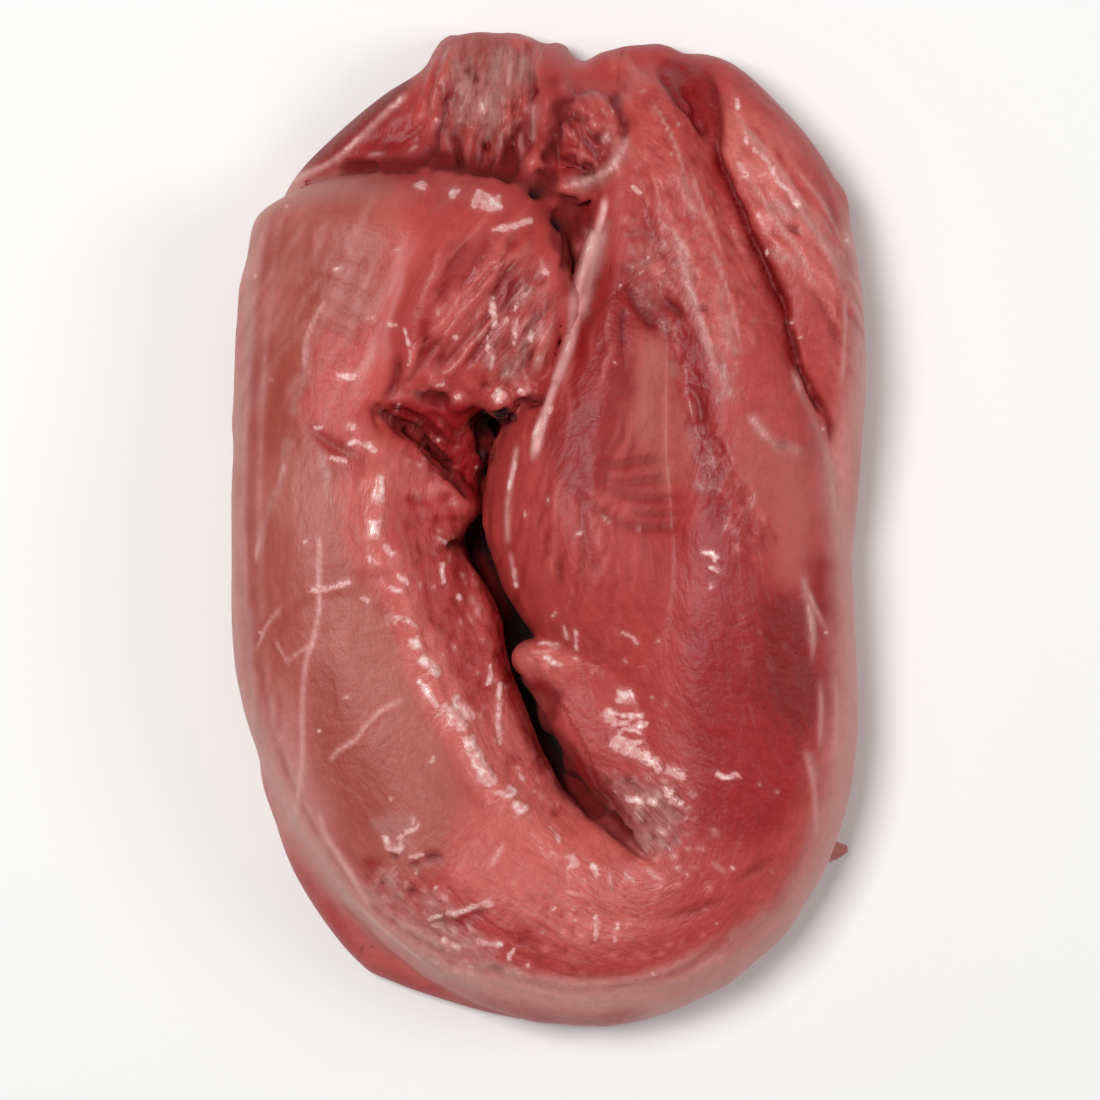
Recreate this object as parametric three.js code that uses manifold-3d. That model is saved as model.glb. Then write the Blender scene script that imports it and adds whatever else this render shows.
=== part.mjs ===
// A whole beef fillet, trimmed and folded into a U, lying on its own flattened underside.
// Millimetres, +Z up. Seen from above, the fold of the U is at -Y, the thin limb with the tucked tail is
// at -X and the thick limb with the head and the side muscle is at +X.
import * as THREE from 'three';
import { mergeVertices } from 'three/addons/utils/BufferGeometryUtils.js';
import Module from 'manifold-3d';

const wasm = await Module();
wasm.setup();

// Driving heights, measured up from the surface that the meat lies on
const thickTop = 57; // crest of the thick limb
const thinTop = 49; // crest of the thin limb
const foldTop = 47; // crest of the U's fold
const tailTop = 55; // top of the tail, folded over onto the thin limb
const flapTop = 30; // top of the thin flap behind the tail
const cleftTop = 16; // level below which the two limbs are pressed together
const clearTop = 70; // a level above all of the meat, which the cuts start from
const pressed = -4; // the underside before it is pressed flat against the surface

// Shape of a muscle's cross-section
const bellyShare = 0.42; // height of the widest level, as a share of the muscle's own height
const upperFullness = 2.35; // exponent of the rounded upper half
const lowerFullness = 2.7; // exponent of the slumped lower half
const capFullness = 2.2; // exponent of the rounded ends
const ridgeTwist = 5; // how far the lengthwise ridges wind round a muscle, in radians

// The block that takes away everything below the surface
const cutDepth = 40;
const cutSpan = 400;

// One muscle: a sphere drawn out along its stations. A station is the middle of a cross-section seen from
// above, with the section's width and the heights of its top and underside.
function muscle({ stations, around = 24, along = 32, cap = 20, ridges = 0, ridgeDepth = 0 }) {
  const spine = new THREE.CatmullRomCurve3(
    stations.map((s) => new THREE.Vector3(s.at[0], s.at[1], 0)),
    false,
    'centripetal',
  );
  const sections = new THREE.CatmullRomCurve3(
    stations.map((s) => new THREE.Vector3(s.wide, s.top, s.base ?? pressed)),
    false,
    'centripetal',
  );
  const length = spine.getLength();
  const geometry = new THREE.SphereGeometry(1, around, along);
  const position = geometry.getAttribute('position');
  const up = new THREE.Vector3(0, 0, 1);

  for (let i = 0; i < position.count; i++) {
    const share = THREE.MathUtils.clamp((1 - position.getY(i)) / 2, 0, 1);
    const angle = Math.atan2(position.getZ(i), position.getX(i));
    const middle = spine.getPointAt(share);
    const side = new THREE.Vector3().crossVectors(up, spine.getTangentAt(share));
    const { x: wide, y: top, z: base } = sections.getPoint(spine.getUtoTmapping(share));

    const fromEnd = Math.min(share, 1 - share) * length;
    const round = 1 - Math.min(fromEnd / cap, 1);
    const closing = (1 - round ** capFullness) ** (1 / capFullness);
    const ridge = 1 + ridgeDepth * Math.cos(ridges * angle + share * ridgeTwist);

    const rising = Math.sin(angle) >= 0;
    const fullness = 2 / (rising ? upperFullness : lowerFullness);
    const across = Math.sign(Math.cos(angle)) * Math.abs(Math.cos(angle)) ** fullness;
    const upward = Math.sign(Math.sin(angle)) * Math.abs(Math.sin(angle)) ** fullness;
    const belly = base + (top - base) * bellyShare;
    const reach = rising ? top - belly : belly - base;

    middle.addScaledVector(side, across * (wide / 2) * closing * ridge);
    position.setXYZ(i, middle.x, middle.y, belly + upward * reach * closing * ridge);
  }
  return geometry;
}

// The three-dimensional solid that a closed geometry encloses
function solidOf(geometry) {
  geometry.deleteAttribute('normal');
  geometry.deleteAttribute('uv');
  const merged = mergeVertices(geometry, 1e-4);
  return new wasm.Manifold(
    new wasm.Mesh({
      numProp: 3,
      vertProperties: merged.getAttribute('position').array,
      triVerts: new Uint32Array(merged.index.array),
    }),
  );
}

// Strands that lie side by side between two guide lines, each line being points [x, y, top]
function strands({ count, from, to, wide, depth, rough, taper }) {
  return Array.from({ length: count }, (_, i) => {
    const share = i / (count - 1);
    const lift = rough * Math.cos(i * 2.4);
    const stations = from.map((start, k) => {
      const [x, y, top] = start.map((value, axis) => value + (to[k][axis] - value) * share);
      return { at: [x, y + lift], wide: wide + lift, top: top + lift, base: top + lift - depth };
    });
    return muscle({ stations, around: 8, along: 10, cap: taper });
  });
}

// Small uneven lumps of loose tissue in a ring
function lumps({ count, middle, spread, size, top }) {
  return Array.from({ length: count }, (_, i) => {
    const turn = (i / count) * 2 * Math.PI;
    const reach = spread * (0.7 + 0.3 * Math.cos(i * 1.7));
    const x = middle[0] + reach * Math.cos(turn);
    const y = middle[1] + reach * Math.sin(turn);
    const half = size * (0.7 + 0.15 * Math.sin(i * 2.3));
    const height = top + 2 * Math.sin(i * 2.9);
    const base = height - 2.6 * size;
    return muscle({
      stations: [
        { at: [x - half, y - half * 0.5], wide: size, top: height - 2, base },
        { at: [x + half, y + half * 0.5], wide: size * 1.2, top: height, base },
      ],
      around: 10,
      along: 8,
      cap: size * 0.6,
    });
  });
}

// The long eye of the fillet: from the turn of the tail, down the thin limb, round the fold of the U and
// up the thick limb to the head
function eye() {
  return muscle({
    around: 30,
    along: 78,
    cap: 20,
    ridges: 7,
    ridgeDepth: 0.01,
    stations: [
      { at: [-39, 97], wide: 76, top: thinTop - 3 },
      { at: [-39.5, 82], wide: 80, top: thinTop + 1 },
      { at: [-42, 64], wide: 80, top: thinTop },
      { at: [-47, 46], wide: 73, top: thinTop },
      { at: [-53, 28], wide: 62, top: thinTop - 1 },
      { at: [-56, 8], wide: 58, top: thinTop },
      { at: [-53, -12], wide: 65, top: thinTop },
      { at: [-48, -38], wide: 70, top: thinTop - 1 },
      { at: [-37, -66], wide: 68, top: foldTop + 1 },
      { at: [-18, -90], wide: 65, top: foldTop },
      { at: [10, -102], wide: 62, top: foldTop },
      { at: [37, -90], wide: 64, top: foldTop + 2 },
      { at: [47, -62], wide: 70, top: thickTop - 6 },
      { at: [49, -28], wide: 67, top: thickTop - 3 },
      { at: [51, 4], wide: 58, top: thickTop - 2 },
      { at: [48, 38], wide: 49, top: thickTop - 2 },
      { at: [39, 70], wide: 38, top: thickTop - 6 },
      { at: [31, 100], wide: 29, top: 46 },
      { at: [23, 129], wide: 25, top: 32 },
    ],
  });
}

// The thin layer that shows beyond the fold, out to its pointed corner
function underLayer() {
  return muscle({
    around: 14,
    along: 30,
    cap: 10,
    stations: [
      { at: [-70, -66], wide: 14, top: 24 },
      { at: [-60, -88], wide: 19, top: 22 },
      { at: [-43, -113], wide: 17, top: 14 },
      { at: [-37, -115], wide: 17, top: 13 },
      { at: [-12, -120], wide: 22, top: 16 },
      { at: [14, -125], wide: 18, top: 16 },
      { at: [38, -122], wide: 14, top: 18 },
    ],
  });
}

// The thick limb's inner muscle, whose edge overhangs the cleft and sinks into the limb lower down
function innerMuscle() {
  return muscle({
    around: 24,
    along: 34,
    cap: 22,
    ridges: 6,
    ridgeDepth: 0.012,
    stations: [
      { at: [19, 124], wide: 18, top: 36 },
      { at: [21, 98], wide: 20, top: 44 },
      { at: [22, 72], wide: 26, top: thickTop - 7 },
      { at: [20, 48], wide: 36, top: thickTop - 3 },
      { at: [13, 26], wide: 50, top: thickTop - 1 },
      { at: [12, 4], wide: 58, top: thickTop },
      { at: [18, -12], wide: 54, top: thickTop - 1 },
      { at: [25, -26], wide: 46, top: thickTop - 6 },
      { at: [34, -42], wide: 36, top: thickTop - 14 },
      { at: [43, -58], wide: 28, top: foldTop - 16 },
    ],
  });
}

// The lower muscle of the thick limb, which comes out from under the overhang as a rounded knob
function lowerMuscle() {
  return muscle({
    around: 22,
    along: 28,
    cap: 17,
    ridges: 5,
    ridgeDepth: 0.015,
    stations: [
      { at: [0, -26], wide: 24, top: foldTop - 4 },
      { at: [10, -44], wide: 34, top: foldTop + 1 },
      { at: [20, -59], wide: 34, top: foldTop + 1 },
      { at: [31, -74], wide: 32, top: foldTop - 4 },
      { at: [42, -88], wide: 26, top: foldTop - 14 },
    ],
  });
}

// The long side muscle, parted from the rest by a deep groove
function sideMuscle() {
  return muscle({
    around: 18,
    along: 34,
    cap: 14,
    stations: [
      { at: [36, 129], wide: 13, top: 26 },
      { at: [46, 117], wide: 22, top: 35 },
      { at: [53, 102], wide: 34, top: 43 },
      { at: [61, 84], wide: 39, top: 48 },
      { at: [67, 62], wide: 36, top: 49 },
      { at: [73, 42], wide: 26, top: 46 },
      { at: [77, 18], wide: 14, top: 38 },
      { at: [76, -12], wide: 11, top: 32 },
      { at: [72, -48], wide: 16, top: 30 },
    ],
  });
}

// The thin flap behind the tail, with its loose hanging folds, and its root, which the limb's end lies on
function flap() {
  const sheet = muscle({
    around: 18,
    along: 26,
    cap: 14,
    stations: [
      { at: [-72, 88], wide: 8, top: 16 },
      { at: [-54, 100], wide: 17, top: 23 },
      { at: [-34, 111], wide: 25, top: flapTop - 3 },
      { at: [-12, 116], wide: 33, top: flapTop },
      { at: [10, 112], wide: 28, top: flapTop + 2 },
      { at: [28, 112], wide: 24, top: flapTop + 4 },
    ],
  });
  const folds = strands({
    count: 6,
    wide: 8,
    depth: 26,
    rough: 1.6,
    taper: 12,
    from: [
      [-25, 135, 18],
      [-28, 120, 31],
      [-32, 102, 23],
    ],
    to: [
      [3, 133, 22],
      [1, 116, 38],
      [-3, 94, 30],
    ],
  });
  const root = muscle({
    around: 12,
    along: 14,
    cap: 10,
    stations: [
      { at: [-54, 90], wide: 16, top: cleftTop - 3 },
      { at: [-22, 94], wide: 24, top: cleftTop - 1 },
      { at: [10, 98], wide: 24, top: cleftTop + 3 },
    ],
  });
  return [sheet, root, ...folds];
}

// The tail, doubled back on top of the thin limb, in strands that fan out to a ragged end
function tail() {
  const body = muscle({
    around: 20,
    along: 22,
    cap: 20,
    stations: [
      { at: [-32, 95], wide: 44, top: tailTop - 9, base: 14 },
      { at: [-24, 78], wide: 52, top: tailTop - 5, base: 14 },
      { at: [-18, 58], wide: 46, top: tailTop - 5, base: 16 },
      { at: [-20, 36], wide: 38, top: tailTop - 14, base: 22 },
    ],
  });
  const fibres = strands({
    count: 6,
    wide: 8.5,
    depth: 18,
    rough: 1,
    taper: 10,
    from: [
      [-18, 94, tailTop - 10],
      [-27, 74, tailTop],
      [-34, 54, tailTop],
      [-37, 31, tailTop - 10],
    ],
    to: [
      [2, 84, tailTop - 15],
      [1, 68, tailTop - 6],
      [-2, 50, tailTop - 7],
      [-6, 31, tailTop - 14],
    ],
  });
  return [body, ...fibres];
}

// Loose tissue: the knot between the flap and the thick limb, the lumps in the tail's pocket, and those on
// the thin limb's inner slope
function looseTissue() {
  return [
    ...lumps({ count: 6, middle: [10, 106], spread: 6, size: 8, top: 42 }),
    ...lumps({ count: 5, middle: [-29, 24], spread: 8, size: 9, top: 31 }),
    ...lumps({ count: 5, middle: [-31, 7], spread: 6, size: 9, top: 42 }),
  ];
}

// Low down, the two limbs are pressed together and close the cleft
function cleftFloor() {
  return muscle({
    around: 12,
    along: 22,
    cap: 12,
    stations: [
      { at: [12, 100], wide: 34, top: cleftTop + 8 },
      { at: [4, 76], wide: 34, top: cleftTop + 2 },
      { at: [-10, 34], wide: 40, top: cleftTop },
      { at: [-16, 0], wide: 34, top: cleftTop },
      { at: [-8, -30], wide: 34, top: cleftTop },
      { at: [4, -60], wide: 34, top: cleftTop + 3 },
      { at: [16, -80], wide: 30, top: cleftTop + 9 },
    ],
  });
}

// The end of the cleft, a crease that shallows out on top of the fold
function cleftEnd() {
  return muscle({
    around: 10,
    along: 16,
    cap: 12,
    stations: [
      { at: [-11, -36], wide: 6, top: clearTop, base: cleftTop },
      { at: [-5, -47], wide: 8, top: clearTop, base: cleftTop },
      { at: [1, -59], wide: 9, top: clearTop, base: cleftTop + 3 },
      { at: [9, -70], wide: 8, top: clearTop, base: cleftTop + 11 },
      { at: [18, -79], wide: 6, top: clearTop, base: cleftTop + 21 },
      { at: [31, -90], wide: 4, top: clearTop, base: cleftTop + 30 },
    ],
  });
}

// The pocket below the ragged end of the tail
function pocket() {
  return muscle({
    around: 12,
    along: 14,
    cap: 8,
    stations: [
      { at: [-48, 33], wide: 7, top: clearTop, base: 36 },
      { at: [-37, 27], wide: 13, top: clearTop, base: 28 },
      { at: [-27, 17], wide: 12, top: clearTop, base: 22 },
      { at: [-20, 6], wide: 6, top: clearTop, base: 18 },
    ],
  });
}

// Everything below the surface that the meat lies on
function belowSurface() {
  const box = new THREE.BoxGeometry(cutSpan, cutSpan, cutDepth);
  return box.translate(0, 0, -cutDepth / 2);
}

function fillet() {
  const join = (pieces) => pieces.map(solidOf).reduce((whole, next) => whole.add(next));
  const limbs = join([eye(), underLayer(), innerMuscle(), lowerMuscle(), sideMuscle(), cleftFloor()]);
  const loose = join([...flap(), ...tail(), ...looseTissue()]);
  const solid = limbs
    .subtract(join([cleftEnd(), pocket()]))
    .add(loose)
    .subtract(solidOf(belowSurface()));

  const mesh = solid.getMesh();
  const geometry = new THREE.BufferGeometry();
  geometry.setAttribute('position', new THREE.BufferAttribute(mesh.vertProperties, 3));
  geometry.setIndex(new THREE.BufferAttribute(mesh.triVerts, 1));
  geometry.computeBoundingBox();
  const middle = geometry.boundingBox.getCenter(new THREE.Vector3());
  geometry.translate(-middle.x, -middle.y, 0);
  geometry.computeVertexNormals();
  return geometry;
}

const rawBeef = new THREE.MeshStandardMaterial({
  name: 'raw_beef',
  color: new THREE.Color(0.42, 0.07, 0.06),
  roughness: 0.38,
  metalness: 0,
});

const group = new THREE.Group();
const body = new THREE.Mesh(fillet(), rawBeef);
body.name = 'fillet';
group.add(body);

export default group;
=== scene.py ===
import random
import bpy
import numpy as np
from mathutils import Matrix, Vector, noise


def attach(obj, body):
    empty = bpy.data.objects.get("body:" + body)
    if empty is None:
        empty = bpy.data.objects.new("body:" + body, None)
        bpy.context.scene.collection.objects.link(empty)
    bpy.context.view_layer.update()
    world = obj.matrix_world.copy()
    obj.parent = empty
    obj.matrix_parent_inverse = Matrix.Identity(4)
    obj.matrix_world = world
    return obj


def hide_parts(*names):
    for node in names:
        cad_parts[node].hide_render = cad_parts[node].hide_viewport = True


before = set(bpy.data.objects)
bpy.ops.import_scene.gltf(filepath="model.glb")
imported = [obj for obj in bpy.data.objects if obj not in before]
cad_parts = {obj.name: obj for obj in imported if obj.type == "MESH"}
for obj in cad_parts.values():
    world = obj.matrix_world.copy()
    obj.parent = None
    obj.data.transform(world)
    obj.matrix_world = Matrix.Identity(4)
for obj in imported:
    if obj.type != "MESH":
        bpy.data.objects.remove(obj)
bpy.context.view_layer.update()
mm = 0.001

# The camera looks straight down. Places on the meat are given as they look from it, in millimetres on a
# level plane at half height, with x to the right and y up in the picture.
view = {
    "pictureSpan": 297.0,  # what the frame's width shows of that plane
    "centre": (0.4, -5.7),
    "planeHeight": 20.0,
    "lens": 150.0,
    "sensor": 36.0,
}
cameraHeight = view["planeHeight"] + view["pictureSpan"] * view["lens"] / view["sensor"]


def deselectAll():
    bpy.ops.object.select_all(action="DESELECT")


def makeActive(piece):
    deselectAll()
    piece.select_set(True)
    bpy.context.view_layer.objects.active = piece


def srgb(red, green, blue):
    levels = np.array((red, green, blue)) / 255
    return np.where(levels < 0.04045, levels / 12.92, ((levels + 0.055) / 1.055) ** 2.4)


def ramp(low, high, values):
    share = np.clip((values - low) / (high - low), 0, 1)
    return share * share * (3 - 2 * share)


# What the studio light and the wet skin's own shine make of a colour
shine = {"added": 0.024, "gain": 0.95, "darkest": 0.003}


def seenAs(red, green, blue):
    return np.maximum((srgb(red, green, blue) - shine["added"]) / shine["gain"], shine["darkest"])


# Colours of the meat, with colours for painted shade and painted highlights
palette = {
    # Painted shade: near black for the deepest shadow, and two dark reds for shaded gaps, grooves and hollows
    "crevice": np.array((0.012, 0.0008, 0.0008)),
    "blood": seenAs(126, 18, 24),
    "clot": seenAs(112, 2, 6),
    "dark": seenAs(112, 26, 30),
    "deep": seenAs(140, 45, 46),
    "crimson": seenAs(150, 48, 50),
    "brown": seenAs(128, 50, 48),
    "umber": seenAs(156, 74, 65),
    "red": seenAs(174, 73, 71),
    "bright": seenAs(191, 84, 80),
    "rose": seenAs(197, 99, 94),
    "tan": seenAs(170, 92, 83),
    "paleTan": seenAs(184, 112, 102),
    "pink": seenAs(205, 112, 106),
    "grey": seenAs(160, 98, 91),
    "ash": seenAs(180, 132, 125),
    "rim": seenAs(202, 140, 133),
    "fat": seenAs(222, 164, 158),
    # painted highlight colour, also of the palest fat specks
    "glintAndFatWhite": seenAs(236, 205, 200),
}


# The surface while it is shaped and painted: its vertices in millimetres, where they lie in the picture,
# which way they face, and what is painted on them.
class Clay:
    def __init__(self, mesh):
        self.mesh = mesh
        count = len(mesh.vertices)
        self.place = np.empty(count * 3)
        mesh.vertices.foreach_get("co", self.place)
        self.place = self.place.reshape(-1, 3) / mm
        self.refresh()
        self.paint = np.tile(palette["red"], (count, 1))
        self.gloss = np.full(count, 0.2)
        # the glint and fleck layer: painted wet highlights and pale fat specks
        self.glintAndFleck = np.zeros(count)
        self.film = np.zeros(count)
        self.torn = np.zeros(count)

    def refresh(self):
        self.store()
        normals = np.empty(len(self.mesh.vertices) * 3)
        self.mesh.vertices.foreach_get("normal", normals)
        self.normal = normals.reshape(-1, 3)
        centre = np.array(view["centre"])
        nearness = (cameraHeight - view["planeHeight"]) / (cameraHeight - self.place[:, 2:])
        self.seen = centre + (self.place[:, :2] - centre) * nearness
        self.facing = self.normal[:, 2]
        self.shown = ramp(0.0, 0.35, self.facing)

    def shake(self):
        self.wobbly = sum((wander(self.seen, *one) for one in hand["outlines"]), self.seen)
        self.loose = self.wobbly + wander(self.seen, *hand["softOutlines"])

    def store(self):
        self.mesh.vertices.foreach_set("co", (self.place * mm).ravel())
        self.mesh.update()

    def colourIn(self, some, colour, cover):
        self.paint[some] += (palette[colour] - self.paint[some]) * cover[:, None]

    def lay(self, some, weight, **layers):
        for layer, value in layers.items():
            if value is not None:
                kept = getattr(self, layer)
                kept[some] += (value - kept[some]) * weight


def noiseOver(places, size, seed=0.0):
    return np.array([noise.noise((x / size, y / size, z / size + seed)) for x, y, z in places])


def wander(seen, size, far):
    flat = np.column_stack((seen, np.zeros(len(seen))))
    return far * np.column_stack([noiseOver(flat, size, seed + size) for seed in (3.1, 8.7)])


def smoothLine(points, closed=False, gap=1.5):
    points = np.array(points, float)
    if len(points) == 1:
        return np.vstack((points, points + 0.01))
    if closed:
        padded = np.vstack((points[-1:], points, points[:2]))
    else:
        padded = np.vstack((2 * points[0] - points[1], points, 2 * points[-1] - points[-2]))
    made = []
    for before, start, end, after in zip(padded, padded[1:], padded[2:], padded[3:]):
        steps = max(2, int(np.linalg.norm(end - start) / gap))
        t = np.linspace(0, 1, steps, endpoint=False)[:, None]
        made.append(0.5 * (2 * start + (end - before) * t + (2 * before - 5 * start + 4 * end - after) * t * t
                           + (3 * start - before - 3 * end + after) * t ** 3))
    made.append(padded[-2:-1])
    return np.vstack(made)


# For each place: its distance from a line, how far along the line it lies, and on which side (+ is right)
def nearLine(places, line):
    starts, spans = line[:-1], np.diff(line, axis=0)
    lengths = np.linalg.norm(spans, axis=1)
    runs = np.concatenate(((0,), np.cumsum(lengths)))
    distance, along, side = (np.empty(len(places)) for _ in range(3))
    for first in range(0, len(places), hand["atOnce"]):
        part = slice(first, first + hand["atOnce"])
        offset = places[part, None] - starts[None]
        share = np.clip((offset * spans).sum(2) / lengths ** 2, 0, 1)
        apart = offset - share[..., None] * spans
        best = (apart ** 2).sum(2).argmin(1)
        row = np.arange(len(best))
        distance[part] = np.linalg.norm(apart[row, best], axis=1)
        along[part] = runs[best] + share[row, best] * lengths[best]
        cross = spans[best, 0] * offset[row, best, 1] - spans[best, 1] * offset[row, best, 0]
        side[part] = -np.sign(cross)
    return distance, along, side


def within(places, loop):
    inside = np.zeros(len(places), bool)
    x, y = places.T
    for (x0, y0), (x1, y1) in zip(loop, np.roll(loop, -1, axis=0)):
        if y0 != y1:
            inside ^= ((y0 > y) != (y1 > y)) & (x < (x1 - x0) * (y - y0) / (y1 - y0) + x0)
    return inside


# How the hand works
hand = {
    "outlines": [(7.0, 1.0), (2.6, 0.55)],  # what outlines and strokes wander by: size and distance in mm
    "softOutlines": (16.0, 4.0),
    "softEdge": 3,  # areas with a wider edge follow the soft outlines
    "reach": 2.4,  # how far a stroke is felt, in half widths
    "blunt": -0.3,  # how full a stroke's tips are
    "dash": 1.9,  # length of the dashes that a broken stroke has
    "tearing": (-0.15, 0.25),
    "atOnce": 20000,  # places that are measured together
}


# An area of one colour with a soft, uneven edge
def area(clay, outline, colour=None, mix=1.0, edge=4.0, **layers):
    loop = smoothLine(outline, closed=True)
    places = clay.loose if edge > hand["softEdge"] else clay.wobbly
    reach = edge + 2
    some = np.flatnonzero(((places > loop.min(0) - reach) & (places < loop.max(0) + reach)).all(1))
    distance = nearLine(places[some], loop)[0]
    distance = np.where(within(places[some], loop[:-1]), distance, -distance)
    weight = ramp(-edge, edge, distance)
    if colour:
        clay.colourIn(some, colour, weight * mix)
    clay.lay(some, weight, **layers)


# One stroke over the surface. wide is its half width, high raises or sinks it, broken tears it into dashes,
# and its colour and layers are left where it passes.
def stroke(clay, points, wide, high=0.0, broken=0.0, ends=2.0, colour=None, mix=1.0, everywhere=False,
           power=2, straight=False, **layers):
    line = smoothLine(points)
    reach = hand["reach"] * wide
    places = clay.seen if straight else clay.wobbly
    inside = ((places > line.min(0) - reach) & (places < line.max(0) + reach)).all(1)
    if not everywhere:
        inside &= clay.facing > 0.0
    some = np.flatnonzero(inside)
    if not len(some):
        return
    distance, along, _ = nearLine(places[some], line)
    length = np.linalg.norm(np.diff(line, axis=0), axis=1).sum()
    taper = np.ones(len(some))
    if len(points) > 1 and ends:
        ends = min(ends, 0.5 * length)
        taper = ramp(hand["blunt"] * ends, ends, np.minimum(along, length - along))
    weight = np.exp(-(distance / wide) ** power) * taper
    if broken:
        flat = np.column_stack((clay.seen[some], np.full(len(some), 3.0 * wide)))
        weight *= 1 - broken * ramp(*hand["tearing"], noiseOver(flat, hand["dash"], 4.4))
    clay.place[some] += clay.normal[some] * (high * weight * clay.shown[some])[:, None]
    if colour:
        clay.colourIn(some, colour, weight * mix)
    clay.lay(some, weight, **layers)


# Many short strokes, strewn over an area with a lean to one direction
def strew(clay, outline, count, toward, length, seed, wide, bend=0.1, **brush):
    dice = random.Random(seed)
    loop = smoothLine(outline, closed=True)
    low, high = loop.min(0), loop.max(0)
    toward = np.array(toward, float) / np.linalg.norm(toward)
    made = 0
    while made < count:
        start = np.array((dice.uniform(low[0], high[0]), dice.uniform(low[1], high[1])))
        if not within(start[None], loop[:-1])[0]:
            continue
        made += 1
        run = dice.uniform(*length)
        turn = dice.gauss(0, bend)
        along = toward + turn * np.array((-toward[1], toward[0]))
        later = along + dice.gauss(0, bend) * np.array((-toward[1], toward[0]))
        points = [start, start + 0.5 * run * along, start + 0.5 * run * (along + later)]
        stroke(clay, points, wide=dice.uniform(*wide), ends=0.4 * run, **brush)


# Strokes side by side over an area, as the strands of a torn muscle lie
def comb(clay, outline, gap, toward, length, seed, brushNames, widen=1.0):
    dice = random.Random(seed)
    loop = smoothLine(outline, closed=True)
    toward = np.array(toward, float) / np.linalg.norm(toward)
    across = np.array((toward[1], -toward[0]))
    reach = loop @ across
    offset = reach.min()
    while offset < reach.max():
        brush = brushes[brushNames[dice.randrange(len(brushNames))]]
        along = (loop @ toward).min() - dice.uniform(0, length[1])
        while along < (loop @ toward).max():
            run = dice.uniform(*length)
            points = [along * toward + (offset + dice.gauss(0, 0.25 * gap)) * across]
            for step in (0.33, 0.66, 1.0):
                points.append(points[0] + step * run * toward + dice.gauss(0, 0.25 * gap) * across)
            if within(points[1][None], loop[:-1])[0] and within(points[2][None], loop[:-1])[0]:
                wide = brush["wide"] * widen * dice.uniform(0.8, 1.25)
                stroke(clay, points, **{**brush, "wide": wide, "ends": 0.35 * run, "straight": True})
            along += run * dice.uniform(0.8, 1.3)
        offset += gap * dice.uniform(0.7, 1.3)


# The tools of the hand
brushes = {
    # painted shadow in a pit
    "pit": {"wide": 2.0, "high": -2.2, "colour": "crevice", "gloss": -0.9, "power": 3},
    # painted shade in a gap
    "gap": {"wide": 1.7, "high": -1.8, "colour": "clot", "gloss": -0.9, "power": 2.5},
    "faint": {"wide": 1.1, "high": -0.25, "colour": "umber", "mix": 0.5, "straight": True},
    # painted sheen along a crest
    "crestSheen": {"wide": 2.8, "high": 0.2, "colour": "pink", "mix": 0.85, "gloss": 0.6},
    # painted shade in a groove
    "groove": {"wide": 1.3, "high": -1.3, "colour": "blood", "gloss": 0.0, "straight": True, "ends": 5},
    # painted shade in a crease
    "crease": {"wide": 1.0, "high": -0.8, "colour": "dark", "mix": 0.9, "gloss": 0.1},
    "wrinkle": {"wide": 1.2, "high": -0.5, "colour": "brown", "mix": 0.6, "straight": True, "ends": 6},
    "shade": {"wide": 2.4, "high": -0.6, "colour": "deep", "mix": 0.8, "ends": 4},
    "ridge": {"wide": 1.5, "high": 0.8, "colour": "rose", "mix": 0.6, "gloss": 0.5},
    "strand": {"wide": 0.9, "high": 0.5, "colour": "bright", "mix": 0.7, "gloss": 0.4},
    "pale": {"wide": 1.1, "high": 0.15, "colour": "ash", "mix": 0.5, "gloss": 0.4, "broken": 0.3},
    "membrane": {"wide": 0.62, "high": 0.15, "colour": "fat", "mix": 0.65, "gloss": 0.5, "broken": 0.25,
                 "straight": True},
    "line": {"wide": 0.75, "high": 0.15, "colour": "rim", "mix": 0.75, "gloss": 0.4, "straight": True,
             "ends": 6},
    "fat": {"wide": 1.3, "high": 0.35, "colour": "fat", "gloss": 0.5, "power": 3, "straight": True},
    # painted wet highlight
    "glint": {"wide": 0.8, "high": 0.15, "colour": "fat", "mix": 0.35, "gloss": 1.0, "glintAndFleck": 1.0,
              "broken": 0.3, "ends": 0.5},
    # painted cluster of wet highlights
    "glintCluster": {"wide": 1.9, "high": 0.3, "colour": "rim", "mix": 0.6, "gloss": 1.0, "glintAndFleck": 0.95,
                "power": 3, "broken": 0.3, "ends": 1.0},
    # painted shade in a furrow
    "furrow": {"wide": 0.8, "high": -0.6, "colour": "dark", "mix": 0.75, "gloss": 0.1},
    "cord": {"wide": 0.9, "high": 0.4, "colour": "rose", "mix": 0.65, "gloss": 0.5},
    "greyCord": {"wide": 0.8, "high": 0.4, "colour": "ash", "mix": 0.35, "gloss": 0.6},
    "brownCord": {"wide": 0.9, "high": 0.3, "colour": "umber", "mix": 0.6, "gloss": 0.3},
    "finePale": {"wide": 0.7, "high": 0.15, "colour": "pink", "mix": 0.5, "gloss": 0.6},
    "fineDark": {"wide": 0.7, "high": -0.25, "colour": "red", "mix": 0.6, "gloss": 0.2},
    # pale speck, partly fat and partly painted highlight
    "spot": {"wide": 0.6, "high": 0.15, "colour": "fat", "mix": 0.4, "gloss": 0.9, "glintAndFleck": 0.9},
}


# Strokes by brush. A line may begin with a number that widens its stroke.
def work(clay, job):
    for name, lines in job.items():
        brush = brushes[name]
        for line in lines:
            widen = 1.0
            if not isinstance(line[0], tuple):
                widen, line = line[0], line[1:]
            stroke(clay, line, **{**brush, "wide": brush["wide"] * widen})


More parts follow.
